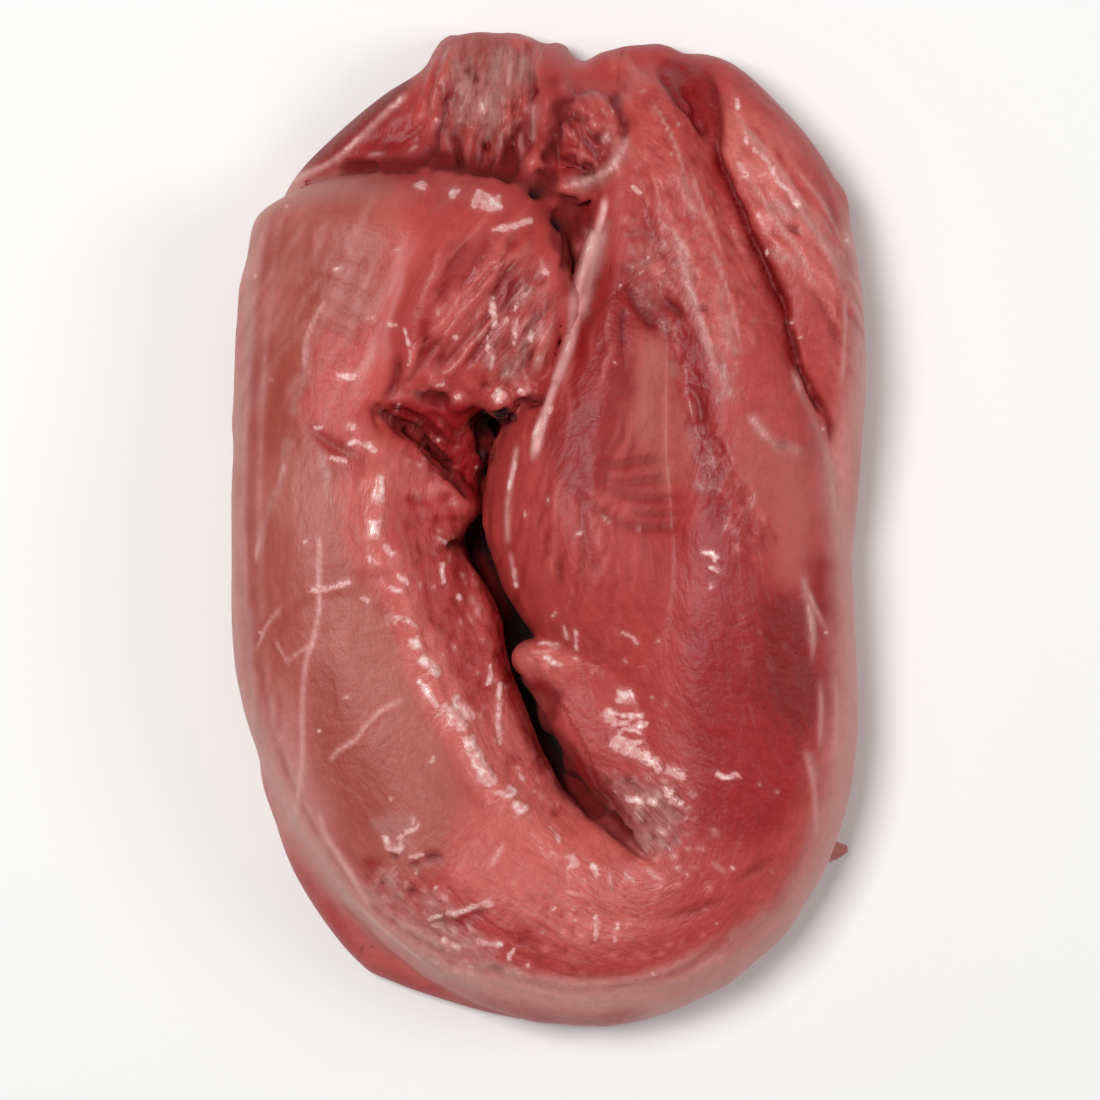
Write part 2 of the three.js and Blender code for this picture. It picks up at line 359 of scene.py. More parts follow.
def makeBlank():
    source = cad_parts["fillet"]
    blank = source.copy()
    blank.data = source.data.copy()
    blank.name = blank.data.name = "meat"
    bpy.context.scene.collection.objects.link(blank)
    blank.parent = None
    blank.matrix_world.identity()
    makeActive(blank)
    bpy.ops.object.mode_set(mode="EDIT")
    bpy.ops.mesh.select_all(action="SELECT")
    bpy.ops.mesh.remove_doubles(threshold=0.00001)
    bpy.ops.object.mode_set(mode="OBJECT")
    return blank


def applied(piece, kind, **settings):
    made = piece.modifiers.new(kind.title(), kind)
    for name, value in settings.items():
        setattr(made, name, value)
    bpy.ops.object.modifier_apply(modifier=made.name)


# Flesh that is laid on the joined solid before it becomes one surface. A place without a height lies on
# the surface below it.
added = {
    "lumps": [  # middle and half sizes
        ((-33, 28, 29), (10, 7, 7)),
        ((-24, 22, 25), (8, 9, 8)),
        ((-46, 32.6, 40), (4.4, 3, 6)),
        ((6, 93.6, 35), (6, 3.4, 5)),
        ((-5, 98, 26), (2.4, 5, 6)),
        ((-10, 126, 14), (10, 7.6, 11)),
        ((-25, 125, 14), (7, 6.6, 11)),
        ((-25, 35, 42), (3.6, 3.4, 4.6)),
        ((-12.8, 34, 42), (4, 3.6, 4.6)),
        ((-6.4, 37, 42), (4, 3, 4)),
        ((4.2, 59, 38), (2.8, 8, 9)),
        ((7, 78, 28), (5, 13, 8)),
        ((-21, 11, 21), (4, 6, 8)),
        ((-18, 126.4, 13), (10, 7.6, 11)),
        ((-30, 98.4, 24), (8, 3.2, 9)),
        ((-15, 98, 26), (9, 3.4, 8)),
        ((-42, 99, 24), (8, 2.6, 8)),
        ((-3.4, -35, 34.6), (6, 4.8, 8)),
        ((1.4, -37, 34), (7, 5.4, 8)),
        ((-3.2, -38.4, 33), (3.4, 3.4, 8)),
        ((5.4, 106, 37.6), (3.8, 4.4, 6)),
        ((12, 110, 33), (7, 7, 7)),
        ((10, 99.5, 34), (4, 3.4, 5)),
        ((1, -48, 24), (3.6, 7, 10)),
        ((8, -61, 24), (3.6, 7, 9)),
        ((-25, 103.4, 25), (7, 5, 9)),
        ((-24, 99.5, 30), (6, 4, 7)),
        ((-2.5, 99, 32), (3.6, 5, 6)),
        ((0.6, 89.6, 30), (3.6, 3.4, 5)),
        ((3, 113, 33), (4, 6, 6)),
        ((-44, 30, 38), (5, 3, 6)),
        ((-10, 105, 27), (5, 8, 9)),
        ((74.2, 86.4, 20), (6.4, 8, 15)),
        ((22.5, 123.8, 14), (7, 6.4, 12)),
        ((-2, 94, 27), (5, 4, 7)),
        ((16.5, 122, 14), (7, 6.6, 13)),
        ((29, 124, 14), (8, 6.6, 12)),
    ],
    "strands": [  # half width, and the places that it passes
        (1.7, (15.6, 90), (14.6, 84), (13, 79)),
        (2.7, (13.6, 81), (12, 75), (9.6, 68), (7.8, 61)),
        (1.3, (8.4, 63), (6.6, 55), (5, 49), (2.6, 42)),
        (1.1, (2.8, 42), (0.6, 36), (-1.4, 31), (-3, 26), (-4, 20)),
        (5.0, (-8.6, 29, 33), (-10.6, 20, 33), (-11.8, 10, 33), (-12.4, 0, 33), (-12, -8, 32)),
        (7.0, (-27, -6, 30), (-23, -15, 30), (-20.3, -23, 30), (-19.2, -32, 30), (-17, -41, 30),
         (-14.4, -47.6, 30), (-12, -54, 30), (-9.4, -61, 30), (-5.6, -68, 30), (-1, -74, 30), (4.4, -80, 30),
         (9.5, -85, 30)),
        (3.4, (-49, 27, 42), (-43, 24, 41), (-37, 19.6, 39), (-32, 14.6, 38), (-26, 9, 36)),
        (2.0, (-44, 35, 42), (-38.6, 31, 38), (-32, 25, 35.6), (-27, 20, 33), (-24, 15, 30)),
        (2.1, (-37, 36, 42), (-32, 31, 38), (-27, 26, 35), (-23, 21.6, 32), (-21, 17, 29)),
        (1.9, (-30, 34.6, 40), (-26, 30.5, 36), (-22, 27, 33), (-19, 22.6, 30)),
        (1.7, (-23, 17, 30), (-21.5, 12, 29), (-20, 6, 28)),
        (6.0, (-79.4, 6, 21), (-79.2, 26, 21), (-78.4, 48, 21), (-77.2, 66, 21), (-75.2, 76, 20),
         (-71.4, 84.5, 19)),
        (2.2, (21, 107, 41), (19, 101, 42), (16, 97, 41), (11.6, 94.6, 39), (6, 93, 36), (-1, 91, 33)),
        (2.2, (12, 91, 38), (6, 90, 35), (1, 89, 31)),
        (1.8, (-33, 44), (-29, 39), (-27, 35)),
        (1.6, (-22, 42), (-20, 36), (-19, 33.6, 41)),
        (1.8, (-9, 42), (-7, 37), (-5, 35.4, 42)),
        (1.5, (-3, 46), (-1.4, 41), (0, 38)),
        (2.4, (64, -86, 10), (72, -86.6, 9), (77, -87, 8), (80.6, -86, 7)),
        (3.0, (30, 119.6, 31.4), (34.6, 114, 35.6), (39, 108, 39)),
        (2.0, (3, 117, 34), (8, 114.6, 37.6), (12.6, 110.4, 39.6), (16, 105, 41)),
        (1.8, (9, 119, 33), (14, 116.4, 36), (17.4, 111.6, 38.6), (19, 106, 40.4)),
        (1.6, (2, 112, 36), (7, 110, 39), (11, 105.4, 40.6), (14.6, 101, 41.4)),
        (1.5, (3, 101.6, 39.4), (8, 100.6, 41), (13, 98.4, 41.4)),
        (6.5, (-74, -52, 17), (-72.4, -61, 16), (-69.6, -71, 15), (-65, -81, 14), (-59, -91, 13),
         (-52, -100, 12)),
        (1.6, (-20.6, 110), (-20.6, 104), (-20, 99, 35), (-19, 96, 38)),
        (1.8, (-2.6, 112), (-5, 105), (-6.6, 99, 33), (-7.6, 95, 37)),
        (1.3, (-29, 112), (-28.6, 106), (-28, 101, 31)),
    ],
}


# The place in space of a point of the picture that lies on the piece, or at a height
def placeOf(piece, x, y, height=None):
    centre = np.array(view["centre"])
    offset = np.array((x, y)) - centre
    for _ in range(2):
        level = view["planeHeight"] if height is None else height
        flat = centre + offset * (cameraHeight - level) / (cameraHeight - view["planeHeight"])
        if height is not None:
            return Vector((*flat, height)) * mm
        hit, spot = piece.ray_cast(Vector((*flat * mm, 0.2)), Vector((0, 0, -1)))[:2]
        height = spot.z / mm if hit else level
    return Vector((*flat, height)) * mm


def addFlesh(blank):
    parts = []
    for (x, y, height), sizes in added["lumps"]:
        deselectAll()
        middle = placeOf(blank, x, y, height)
        bpy.ops.mesh.primitive_uv_sphere_add(segments=28, ring_count=16, location=middle)
        parts.append(bpy.context.object)
        bpy.context.object.scale = [size * mm for size in sizes]
        bpy.ops.object.transform_apply(location=True, scale=True)
    for wide, *points in added["strands"]:
        curve = bpy.data.curves.new("strand", "CURVE")
        curve.dimensions, curve.bevel_depth, curve.use_fill_caps = "3D", wide * mm, True
        places = smoothLine([placeOf(blank, *point) for point in points], gap=0.8 * mm)
        spline = curve.splines.new("POLY")
        spline.points.add(len(places) - 1)
        last = len(places) - 1
        for i, (point, place) in enumerate(zip(spline.points, places)):
            point.co = (*place, 1)
            point.radius = 0.35 + 0.65 * min(1, 4 * min(i, last - i) / last)
        strand = bpy.data.objects.new("strand", curve)
        bpy.context.scene.collection.objects.link(strand)
        makeActive(strand)
        bpy.ops.object.convert(target="MESH")
        parts.append(bpy.context.object)
    makeActive(blank)
    for part in parts:
        part.select_set(True)
    bpy.ops.object.join()


# How the joined solid becomes one soft surface
softening = {
    "voxel": 1.0 * mm,
    "rounds": {"all": 4, "limbs": 46, "slack": 130},  # of smoothing
    "firmBelow": 0.3,  # the flat underside isn't smoothed
    "firmEdge": (0.6, 1.3),  # in widths of a line
    "slackEdge": (0.7, 1.3),
    "regained": 0.7,  # what smoothing has taken from the sides, in mm
    "regainedAt": (1, 6),  # heights between which it comes in
    "kept": 0.655,  # share of the faces
    "underside": 1.0,  # height up to which faces are few
    "coarseBelow": 16,
    "thinned": 0.35,  # how readily the lower sides lose faces, where the underside has 1
    "slack": [  # lines and how wide the solid's own ridges are smoothed away round them
        ([(-34, 92), (-22, 76), (-20, 58), (-26, 48)], 15),
        ([(-32, 122), (-22, 126), (-8, 128), (4, 122)], 9),
        ([(45, 116), (46, 104), (52, 88), (58, 74), (64, 58), (68, 42), (74, 28)], 5),
        ([(-72, -60), (-66, -78), (-56, -95), (-46, -107)], 7),
        ([(-31, -12), (-26, -28), (-22, -42), (-17, -55), (-11, -66), (-2, -78), (6, -86)], 5),
    ],
    "looseParts": [  # these keep their creases
        ([(-44, 33), (-30, 36), (-12, 34), (-2, 38)], 5),
        ([(-6, 110), (8, 106), (14, 102)], 11),
        ([(8, 88), (6, 66), (-2, 42)], 5),
        ([(-14, 30), (-26, 22), (-28, 8)], 8),
        ([(-18, -2), (-10, -28), (0, -56), (12, -74), (24, -87)], 6),
        ([(18, 104), (15, 88), (11, 72), (6, 52), (0, 37), (-4, 21)], 4),
        ([(70, -87), (80, -87)], 4),
        ([(-50, -102), (-45, -106), (-30, -121)], 4),
    ],
}


# The floor of the cleft, where the solid is closed, is sunk so that it lies in the dark
cleft = {
    "line": [(4, 88), (6, 70), (1, 40), (-15, 26), (-19, 0), (-11, -26), (-3, -52), (7, -69), (20, -82)],
    "wide": 9.0,
    "from": 30.0,
    "floor": 13.0,
    "sunk": 5.0,
}


def deepenCleft(clay):
    near = nearLine(clay.seen, smoothLine(cleft["line"]))[0] < cleft["wide"]
    height = clay.place[:, 2]
    low = near & (height < cleft["from"]) & (height > cleft["floor"])
    share = (height[low] - cleft["floor"]) / (cleft["from"] - cleft["floor"])
    clay.place[low, 2] = cleft["sunk"] + share * (cleft["from"] - cleft["sunk"])
    clay.refresh()


def soften(piece):
    applied(piece, "REMESH", mode="VOXEL", voxel_size=softening["voxel"], adaptivity=0.0)
    applied(piece, "SMOOTH", factor=0.5, iterations=softening["rounds"]["all"])
    clay = Clay(piece.data)
    firm = np.zeros(len(clay.place))
    for points, wide in softening["looseParts"]:
        distance = nearLine(clay.seen, smoothLine(points))[0]
        low, high = (share * wide for share in softening["firmEdge"])
        firm = np.maximum(firm, 1 - ramp(low, high, distance))
    loose = np.zeros(len(clay.place))
    for points, wide in softening["slack"]:
        distance = nearLine(clay.seen, smoothLine(points))[0]
        low, high = (share * wide for share in softening["slackEdge"])
        loose = np.maximum(loose, (1 - ramp(low, high, distance)) * (1 - firm))
    groups = {name: piece.vertex_groups.new(name=name) for name in ("limbs", "slack", "low")}
    for i, (hold, slack, height) in enumerate(zip(firm, loose, clay.place[:, 2])):
        if hold < 0.99 and height > softening["firmBelow"]:
            groups["limbs"].add((i,), 1 - hold, "REPLACE")
        if slack > 0.01 and clay.facing[i] > 0:
            groups["slack"].add((i,), slack, "REPLACE")
        if height < softening["underside"] and clay.facing[i] < -0.2:
            groups["low"].add((i,), 1.0, "REPLACE")
        elif height < softening["coarseBelow"] or clay.facing[i] < -0.1:
            groups["low"].add((i,), softening["thinned"], "REPLACE")
    for name in ("limbs", "slack"):
        applied(piece, "SMOOTH", factor=0.5, iterations=softening["rounds"][name], vertex_group=name)
    applied(piece, "DECIMATE", ratio=softening["kept"], vertex_group="low", vertex_group_factor=10.0,
            use_collapse_triangulate=True)
    piece.vertex_groups.clear()
    piece.data.calc_loop_triangles()
    print("softened to", len(piece.data.loop_triangles), "triangles")


# Lines that the fibres follow: between the cleft and the outline, and round the fold
grain = {
    "cleft": [(20, 130), (14, 92), (8, 70), (3, 48), (-8, 33), (-18, 15), (-19, -5), (-12, -28), (-3, -52),
              (6, -68), (16, -79), (26, -88), (38, -128)],
    "left": [(-72, 130), (-76, 104), (-80, 84), (-83, 60), (-84, 15), (-83, -35), (-75, -68), (-59, -92),
             (-38, -114), (5, -133), (36, -130), (62, -108)],
    "right": [(30, 129), (50, 121), (64, 111), (75, 97), (82, 80), (85, 55), (83, 25), (80, -3), (82, -40),
              (77, -80), (62, -108), (36, -130), (5, -133), (-38, -114)],
    "bottom": (5.0, -133.0),
    "usualWidth": 80.0,
    "regions": [  # outlines of the parts that lie another way, and where their fibres lead
        ([(-28, 86), (-14, 90), (0, 84), (6, 66), (0, 36), (-14, 32), (-42, 34), (-43, 52), (-38, 70)],
         (-0.6, -0.8)),
        ([(-76, 90), (-60, 96.4), (-46, 98), (-22, 98), (-9, 95), (-3, 97), (-2, 114), (2, 124), (0, 145),
          (-90, 130)],
         (-0.12, -0.99)),
        ([(-3, 97), (-2, 90), (14, 88), (21, 96), (23, 106), (18, 118), (2, 124), (-2, 114)], (0.4, -0.9)),
    ],
    "fading": (1.1, 3.5),  # the patterns fade towards a part's outline
    "wander": [(14.0, 1.0), (34.0, 3.0)],  # size and distance in mm
    "apart": 300,  # so that one part's pattern doesn't carry on in the next
    "downward": 0.4,  # how much of the height counts
}


def layGrain(clay):
    side = nearLine(clay.seen, smoothLine(grain["cleft"]))[2]
    toCleft = nearLine(clay.seen, smoothLine(grain["cleft"][1:-1]))[0]
    onRight = side < 0
    across, along = np.empty(len(side)), np.empty(len(side))
    for right in (False, True):
        line = smoothLine(grain["right" if right else "left"])
        some = onRight == right
        distance, run, _ = nearLine(clay.seen[some], line)
        across[some] = grain["usualWidth"] * toCleft[some] / (toCleft[some] + distance + 0.01)
        bottom = nearLine(np.array([grain["bottom"]]), line)[1][0]
        along[some] = (bottom - run) * (1 if right else -1)
    flow = np.column_stack((across, along))
    clay.calm = np.ones(len(side))
    for outline, toward in grain["regions"]:
        loop = smoothLine(outline, closed=True)
        clay.calm *= ramp(*grain["fading"], nearLine(clay.wobbly, loop)[0])
        inside = within(clay.wobbly, loop[:-1])
        toward = np.array(toward)
        own = np.column_stack((clay.seen @ (toward[1], -toward[0]), clay.seen @ toward))
        flow[inside] = own[inside] + grain["apart"]
    flow += sum(wander(clay.seen, *one) for one in grain["wander"])
    clay.flow = np.column_stack((flow, clay.place[:, 2] * grain["downward"]))


# Small swellings of the muscle, long in the direction of its fibres, that break up its gloss
swell = {
    "waves": [  # size across, along and down in mm, and height
        ((9.0, 26.0, 8.0), 0.5),
        ((4.2, 11.0, 8.0), 0.26),
        ((2.4, 5.0, 8.0), 0.13),
    ],
    "heldByFilm": 0.45,  # how much the silverskin flattens them
}


def ripple(clay):
    calm = clay.shown * clay.calm * (1 - swell["heldByFilm"] * clay.film)
    for i, (size, high) in enumerate(swell["waves"]):
        rise = high * noiseOver(clay.flow / size, 1.0, 11.0 * i) * calm
        clay.place += clay.normal * rise[:, None]
    clay.refresh()


# Broad colour: the muscle itself, where silverskin lies over it, painted shade in the cleft and the gaps, and
# painted sheen along the crest. Each area has its colour, how strong it is, how soft its edge, and its
# outline.
coat = [
    ("red", 1.0, 3, [(-48, 90), (-18, 96), (0, 84), (2, 60), (-4, 36), (-40, 34), (-44, 50)]),
    ("tan", 0.95, 5, [(-86, 60), (-82, 85), (-66, 97), (-48, 98), (-42, 84), (-44, 70), (-50, 58), (-60, 52),
                      (-66, 44), (-66, 32), (-58, 22), (-54, 12), (-52, 2), (-50, -14), (-44, -22),
                      (-38, -34), (-31, -48), (-27, -58), (-22, -70), (-22, -82), (-34, -92), (-50, -96),
                      (-62, -84), (-70, -72), (-80, -52), (-86, -30), (-88, 0)]),
    ("paleTan", 0.7, 4, [(-78, 88), (-66, 94), (-50, 94), (-62, 84), (-72, 74), (-76, 60), (-79, 66)]),
    ("paleTan", 0.4, 4, [(-60, -18), (-46, -19), (-41, -32), (-37, -46), (-30, -54), (-30, -64), (-40, -56),
                         (-48, -46), (-58, -38)]),
    ("paleTan", 0.5, 5, [(-70, 22), (-62, 18), (-58, 6), (-62, -8), (-70, 0), (-76, 6)]),
    ("umber", 0.7, 5, [(-80, 52), (-71, 54), (-68, 42), (-70, 26), (-78, 20), (-82, 34)]),
    ("umber", 0.8, 5, [(-64, -36), (-54, -44), (-50, -58), (-42, -66), (-42, -78), (-56, -82), (-63, -66)]),
    ("umber", 0.5, 5, [(-68, 76), (-54, 76), (-50, 64), (-60, 54), (-68, 58)]),
    ("bright", 0.85, 7, [(-62, 48), (-50, 52), (-43, 46), (-43, 33), (-50, 28), (-63, 33)]),
    ("rose", 0.7, 3.4, [(-57, 12), (-46, 14), (-46, -6), (-42, -14), (-48, -16), (-56, -4)]),
    ("rose", 0.6, 5, [(-44, 90), (-38, 92), (-36, 70), (-40, 56), (-48, 56), (-46, 72)]),
    ("bright", 0.2, 4, [(-36, 88), (-20, 86), (-24, 66), (-34, 52), (-38, 62)]),
    ("red", 0.95, 1.6, [(-44, 18), (-32, 22), (-24, 10), (-20, -2), (-12, -20), (-10, -34), (-4, -52),
                        (0, -60), (-8, -64), (-16, -56), (-24, -46), (-32, -34), (-37, -22), (-41, -10),
                        (-44, 2)]),
    ("rose", 0.75, 3, [(-18, -50), (-6, -48), (2, -64), (10, -76), (20, -86), (14, -96), (0, -88),
                       (-12, -74)]),
    # painted sheen round the glints along the crest
    ("pink", 0.8, 2.4, [(-39, -26), (-32, -33), (-23, -48), (-14, -62), (-6, -74), (4, -84), (0, -90),
                        (-12, -80), (-22, -66), (-30, -52), (-38, -38)]),
    ("rose", 0.6, 2, [(-52, 28), (-44, 25), (-36, 17), (-30, 12), (-38, 9), (-48, 14)]),
    ("rose", 0.85, 5, [(-24, -78), (-12, -76), (4, -88), (22, -94), (34, -90), (34, -108), (10, -112),
                       (-14, -104), (-26, -94)]),
    ("red", 0.9, 5, [(12, 98), (24, 126), (44, 122), (46, 96), (60, 66), (70, 36), (60, -10), (44, -14),
                     (36, -60), (8, -40), (-14, -6), (-16, 18), (2, 42)]),
    ("bright", 0.5, 5, [(18, 126), (34, 122), (40, 106), (46, 90), (34, 88), (22, 100)]),
    ("deep", 0.75, 4, [(9, 66), (18, 70), (22, 56), (22, 32), (18, 16), (8, 8), (0, 24), (4, 46)]),
    ("paleTan", 0.6, 6, [(25, 54), (33, 53), (38, 38), (39, 20), (31, 12), (24, 20), (22, 36)]),
    ("crimson", 0.8, 3, [(31, 62), (38, 58), (42, 44), (46, 28), (52, 12), (60, 0), (50, -4), (44, 10),
                         (38, 26), (33, 44)]),
    ("deep", 0.8, 1.6, [(29, 124.5), (34.6, 117), (40, 110.6), (43.6, 104), (45, 99), (46, 104), (45.6, 112),
                        (44.6, 119), (41.6, 125), (34, 127)]),
    ("crimson", 0.5, 4, [(34, -2), (44, 0), (48, -14), (46, -34), (38, -30), (35, -14)]),
    ("pink", 0.6, 2, [(-9, -31), (-2, -31), (6, -33), (8, -38), (2, -41), (-6, -41), (-10, -37)]),
    # painted shade on the wall and floor of the cleft below the lobe
    ("clot", 0.8, 1.4, [(-8, -39), (-4, -41), (3, -43), (3, -48), (3, -54), (8, -60), (13, -66), (20, -74),
                        (22, -80), (17, -79), (8, -71), (2, -63), (-2, -55), (-6, -44)]),
    ("crevice", 0.5, 1.2, [(-6, -43), (-2, -43), (-1, -48), (0.5, -54), (4, -61), (10, -67), (18, -76),
                           (20, -80), (14, -77), (6, -70), (-1, -60), (-4, -52)]),
    ("umber", 0.6, 1.0, [(-4, -44), (-1, -45), (-0.6, -49), (-3, -50)]),
    ("deep", 0.7, 1.6, [(30, 57), (34, 59), (40, 51), (37, 48)]),
    ("dark", 0.45, 2, [(25, 64), (29, 62), (38, 54), (35, 50), (28, 56)]),
    ("grey", 0.75, 3, [(14, -66), (24, -68), (36, -72), (34, -84), (24, -88), (16, -78)]),
    ("rose", 0.5, 5, [(40, 84), (52, 82), (58, 66), (54, 46), (44, 44), (40, 58)]),
    ("grey", 0.3, 3, [(24, 82), (31, 80), (36, 62), (30, 56), (23, 64)]),
    ("rim", 0.6, 3, [(-62, -84), (-54, -94), (-42, -104), (-24, -114), (-4, -120), (22, -121), (44, -113),
                     (48, -117), (30, -127), (0, -129), (-30, -119), (-52, -102)]),
    ("ash", 0.35, 2.4, [(-44, -78), (-38, -77), (-35, -80), (-37, -83), (-36, -87), (-41, -88),
                        (-44, -84)]),
    ("grey", 0.2, 2.5, [(-12, 71), (-4, 70), (1, 62), (0, 50), (-4, 38), (-12, 36), (-17, 44), (-18, 54),
                        (-14, 62)]),
    ("grey", 0.7, 3, [(-27, 129), (-8, 131), (-4, 120), (-12, 108), (-22, 106), (-27, 112)]),
    ("crimson", 0.9, 1.2, [(-45, 31.6), (-40, 34), (-28, 34), (-16, 30), (-18, 8), (-23, 9), (-29, 16),
                           (-36, 22.6)]),
    ("deep", 0.6, 2, [(2, 118), (12, 118), (19, 110), (19, 100), (8, 92), (0, 96), (0, 108)]),
    # painted shade on the flap's outer strip
    ("deep", 0.5, 2, [(-66, 95), (-50, 108), (-38, 116), (-36, 104), (-48, 98)]),
    ("pink", 0.5, 2, [(-59, -98), (-54, -110), (-46, -119), (-30, -124), (-18, -128), (-34, -115),
                      (-48, -104)]),
    # painted shade in the gaps round the flap, the tail's end and the top of the cleft, and on the flap's
    # outer strip
    ("clot", 0.85, 1.0, [(-5, 90), (-3, 96), (1, 98), (3, 93), (1, 89)]),
    ("clot", 0.8, 1.2, [(0, 80), (2, 87), (10, 88), (12, 84), (7, 80), (5, 74), (2, 75)]),
    ("crevice", 0.35, 1.0, [(-50, 98.2), (-38, 100), (-26, 100.4), (-14, 99), (-9, 97), (-14, 95.4),
                            (-30, 96.4), (-46, 97)]),
    ("crevice", 0.35, 1.0, [(-10, 97), (-6, 98), (-1, 93), (-5, 90), (-9, 93)]),
    ("blood", 0.85, 1.0, [(-70, 95.4), (-61, 100.4), (-51, 108), (-38, 118.6), (-40, 122), (-57, 112),
                          (-72, 99)]),
    ("clot", 0.9, 1.2, [(-58, 97.2), (-48, 99.6), (-38, 101.4), (-26, 102), (-14, 101), (-9, 99), (-6, 94),
                        (-9, 94), (-16, 96.4), (-30, 97.2), (-46, 97)]),
    ("crimson", 0.9, 5, [(42, 10), (52, 8), (62, -12), (74, -22), (75, -50), (68, -72), (56, -86), (40, -84),
                         (36, -66), (38, -40), (44, -14)]),
    ("red", 0.6, 5, [(36, -84), (52, -88), (66, -84), (66, -98), (50, -110), (30, -116), (10, -118),
                     (20, -108)]),
    ("brown", 0.85, 5, [(60, -18), (70, -22), (73, -44), (69, -60), (60, -52), (56, -36)]),
    ("tan", 0.6, 4, [(50, 26), (55, 30), (59, 24), (64, 21), (70, 20), (73, 12), (72, 2), (71, -8),
                     (66, -14), (60, -4), (54, 6), (48, 14)]),
    ("rose", 0.6, 4, [(46, 118), (56, 114), (68, 100), (79, 84), (80, 66), (70, 62), (58, 80), (50, 96)]),
    ("pink", 0.75, 4, [(50, 112), (58, 106), (70, 88), (70, 78), (58, 84), (50, 98)]),
]

coatGloss = {"clot": -0.9, "crevice": -0.9}  # the painted shade in the cleft and gaps is kept matt
coatFilm = {"tan": 0.9, "paleTan": 0.9}

# The pale edge round the outline, silverskin and painted sheen where it turns away: how much wider than
# usual, and its line
rimBrush = {"colour": "rim", "mix": 0.85, "ends": 0, "film": 0.8, "everywhere": True}
rimWidth = 4.2
rim = [
    (1.0, [(-70, 93), (-78, 87), (-83, 66), (-85.5, 30), (-86, 0), (-86, -20), (-84, -44), (-78, -64)]),
    (1.9, [(-75, -52), (-72, -68), (-67, -78)]),
    (1.0, [(-72, -70), (-66, -83), (-58, -94)]),
    (0.8, [(-62, -86), (-54, -98), (-42, -109), (-30, -117), (-14, -124), (8, -128), (30, -127)]),
    (1.3, [(30, -131), (50, -119), (66, -103), (76, -84), (81, -56), (82.5, -30), (81, -4), (80, 16),
           (84, 34), (86, 56), (83, 78)]),
]


# Fine stripes that run beside the outline: the outline, then how far inside it each lies, its colour and
# its height
stripeBrush = {"wide": 0.9, "mix": 0.55, "ends": 14, "broken": 0.3, "straight": True}
stripes = [
    ([(-84, -30), (-81, -52), (-74, -72), (-64, -90), (-51, -106), (-35, -117), (-16, -125), (10, -130),
      (36, -125), (52, -114)],
     [(3.2, "rim", 0.12), (5.4, "tan", -0.16), (7.2, "rim", 0.12)]),
    ([(-70, 93), (-78, 87), (-82, 66), (-84.5, 30), (-85, 0), (-84, -30)],
     [(2.6, "rim", 0.06), (4.6, "umber", -0.04), (7.0, "rim", 0.04)]),
]


def runStripes(clay):
    for outline, lines in stripes:
        line = smoothLine(outline, gap=6)
        ahead = np.gradient(line, axis=0)
        ahead /= np.linalg.norm(ahead, axis=1)[:, None]
        inward = np.column_stack((ahead[:, 1], -ahead[:, 0]))
        inward *= np.sign(-(inward * line).sum(1))[:, None]
        for inside, colour, high in lines:
            stroke(clay, line + inward * inside, high=high, colour=colour, **stripeBrush)


# Where the surface is torn open into fine fibres and beads: how much, how soft its edge, and its outline
tears = [
    (1.0, 2.0, [(-12, 72), (-4, 71), (1, 62), (1, 50), (-4, 38), (-12, 36), (-18, 42), (-20, 52),
                (-15, 62)]),
    (0.8, 2.5, [(-28, 130), (-6, 132), (0, 122), (-2, 104), (-12, 100), (-26, 104), (-29, 116)]),
    (0.35, 2.0, [(0, 118), (14, 120), (21, 110), (20, 98), (8, 90), (-2, 92), (-2, 106)]),
    (0.35, 2.0, [(-49, 32), (-36, 38), (-20, 36), (-14, 26), (-20, 10), (-26, 12), (-36, 22)]),
    (0.25, 3.0, [(-44, 18), (-30, 20), (-22, 6), (-20, -6), (-10, -40), (4, -70), (-8, -72), (-28, -46),
                 (-40, -16)]),
    (0.2, 3.0, [(23, 84), (32, 82), (38, 62), (31, 54), (23, 62)]),
    (0.2, 4.0, [(34, 92), (50, 90), (58, 66), (54, 40), (46, 38), (38, 60)]),
    (0.2, 5.0, [(18, 126), (36, 112), (48, 88), (40, 76), (24, 84), (18, 104)]),
    (0.2, 5.0, [(47, 114), (60, 106), (76, 88), (84, 66), (72, 52), (62, 74)]),
    (0.2, 4.0, [(32, 62), (38, 58), (48, 26), (60, 0), (66, -30), (50, -60), (44, -10), (36, 28)]),
    (0.5, 4.0, [(-50, -92), (-36, -90), (-14, -102), (-6, -118), (-30, -118), (-46, -102)]),
    (0.45, 4.0, [(-12, -98), (20, -92), (26, -110), (4, -118), (-12, -114)]),
    (0.3, 3.0, [(8, -60), (18, -56), (36, -68), (34, -84), (22, -88), (14, -76)]),
    (0.25, 3.0, [(-12, -30), (4, -24), (14, -34), (8, -42), (-8, -42)]),
]


def paintBroadly(clay):
    for amount, edge, outline in tears:
        area(clay, outline, edge=edge, torn=amount)
    for colour, mix, edge, outline in coat:
        area(clay, outline, colour, mix, edge, film=coatFilm.get(colour), gloss=coatGloss.get(colour))
    for widen, line in rim:
        stroke(clay, line, rimWidth * widen, **rimBrush)
    runStripes(clay)


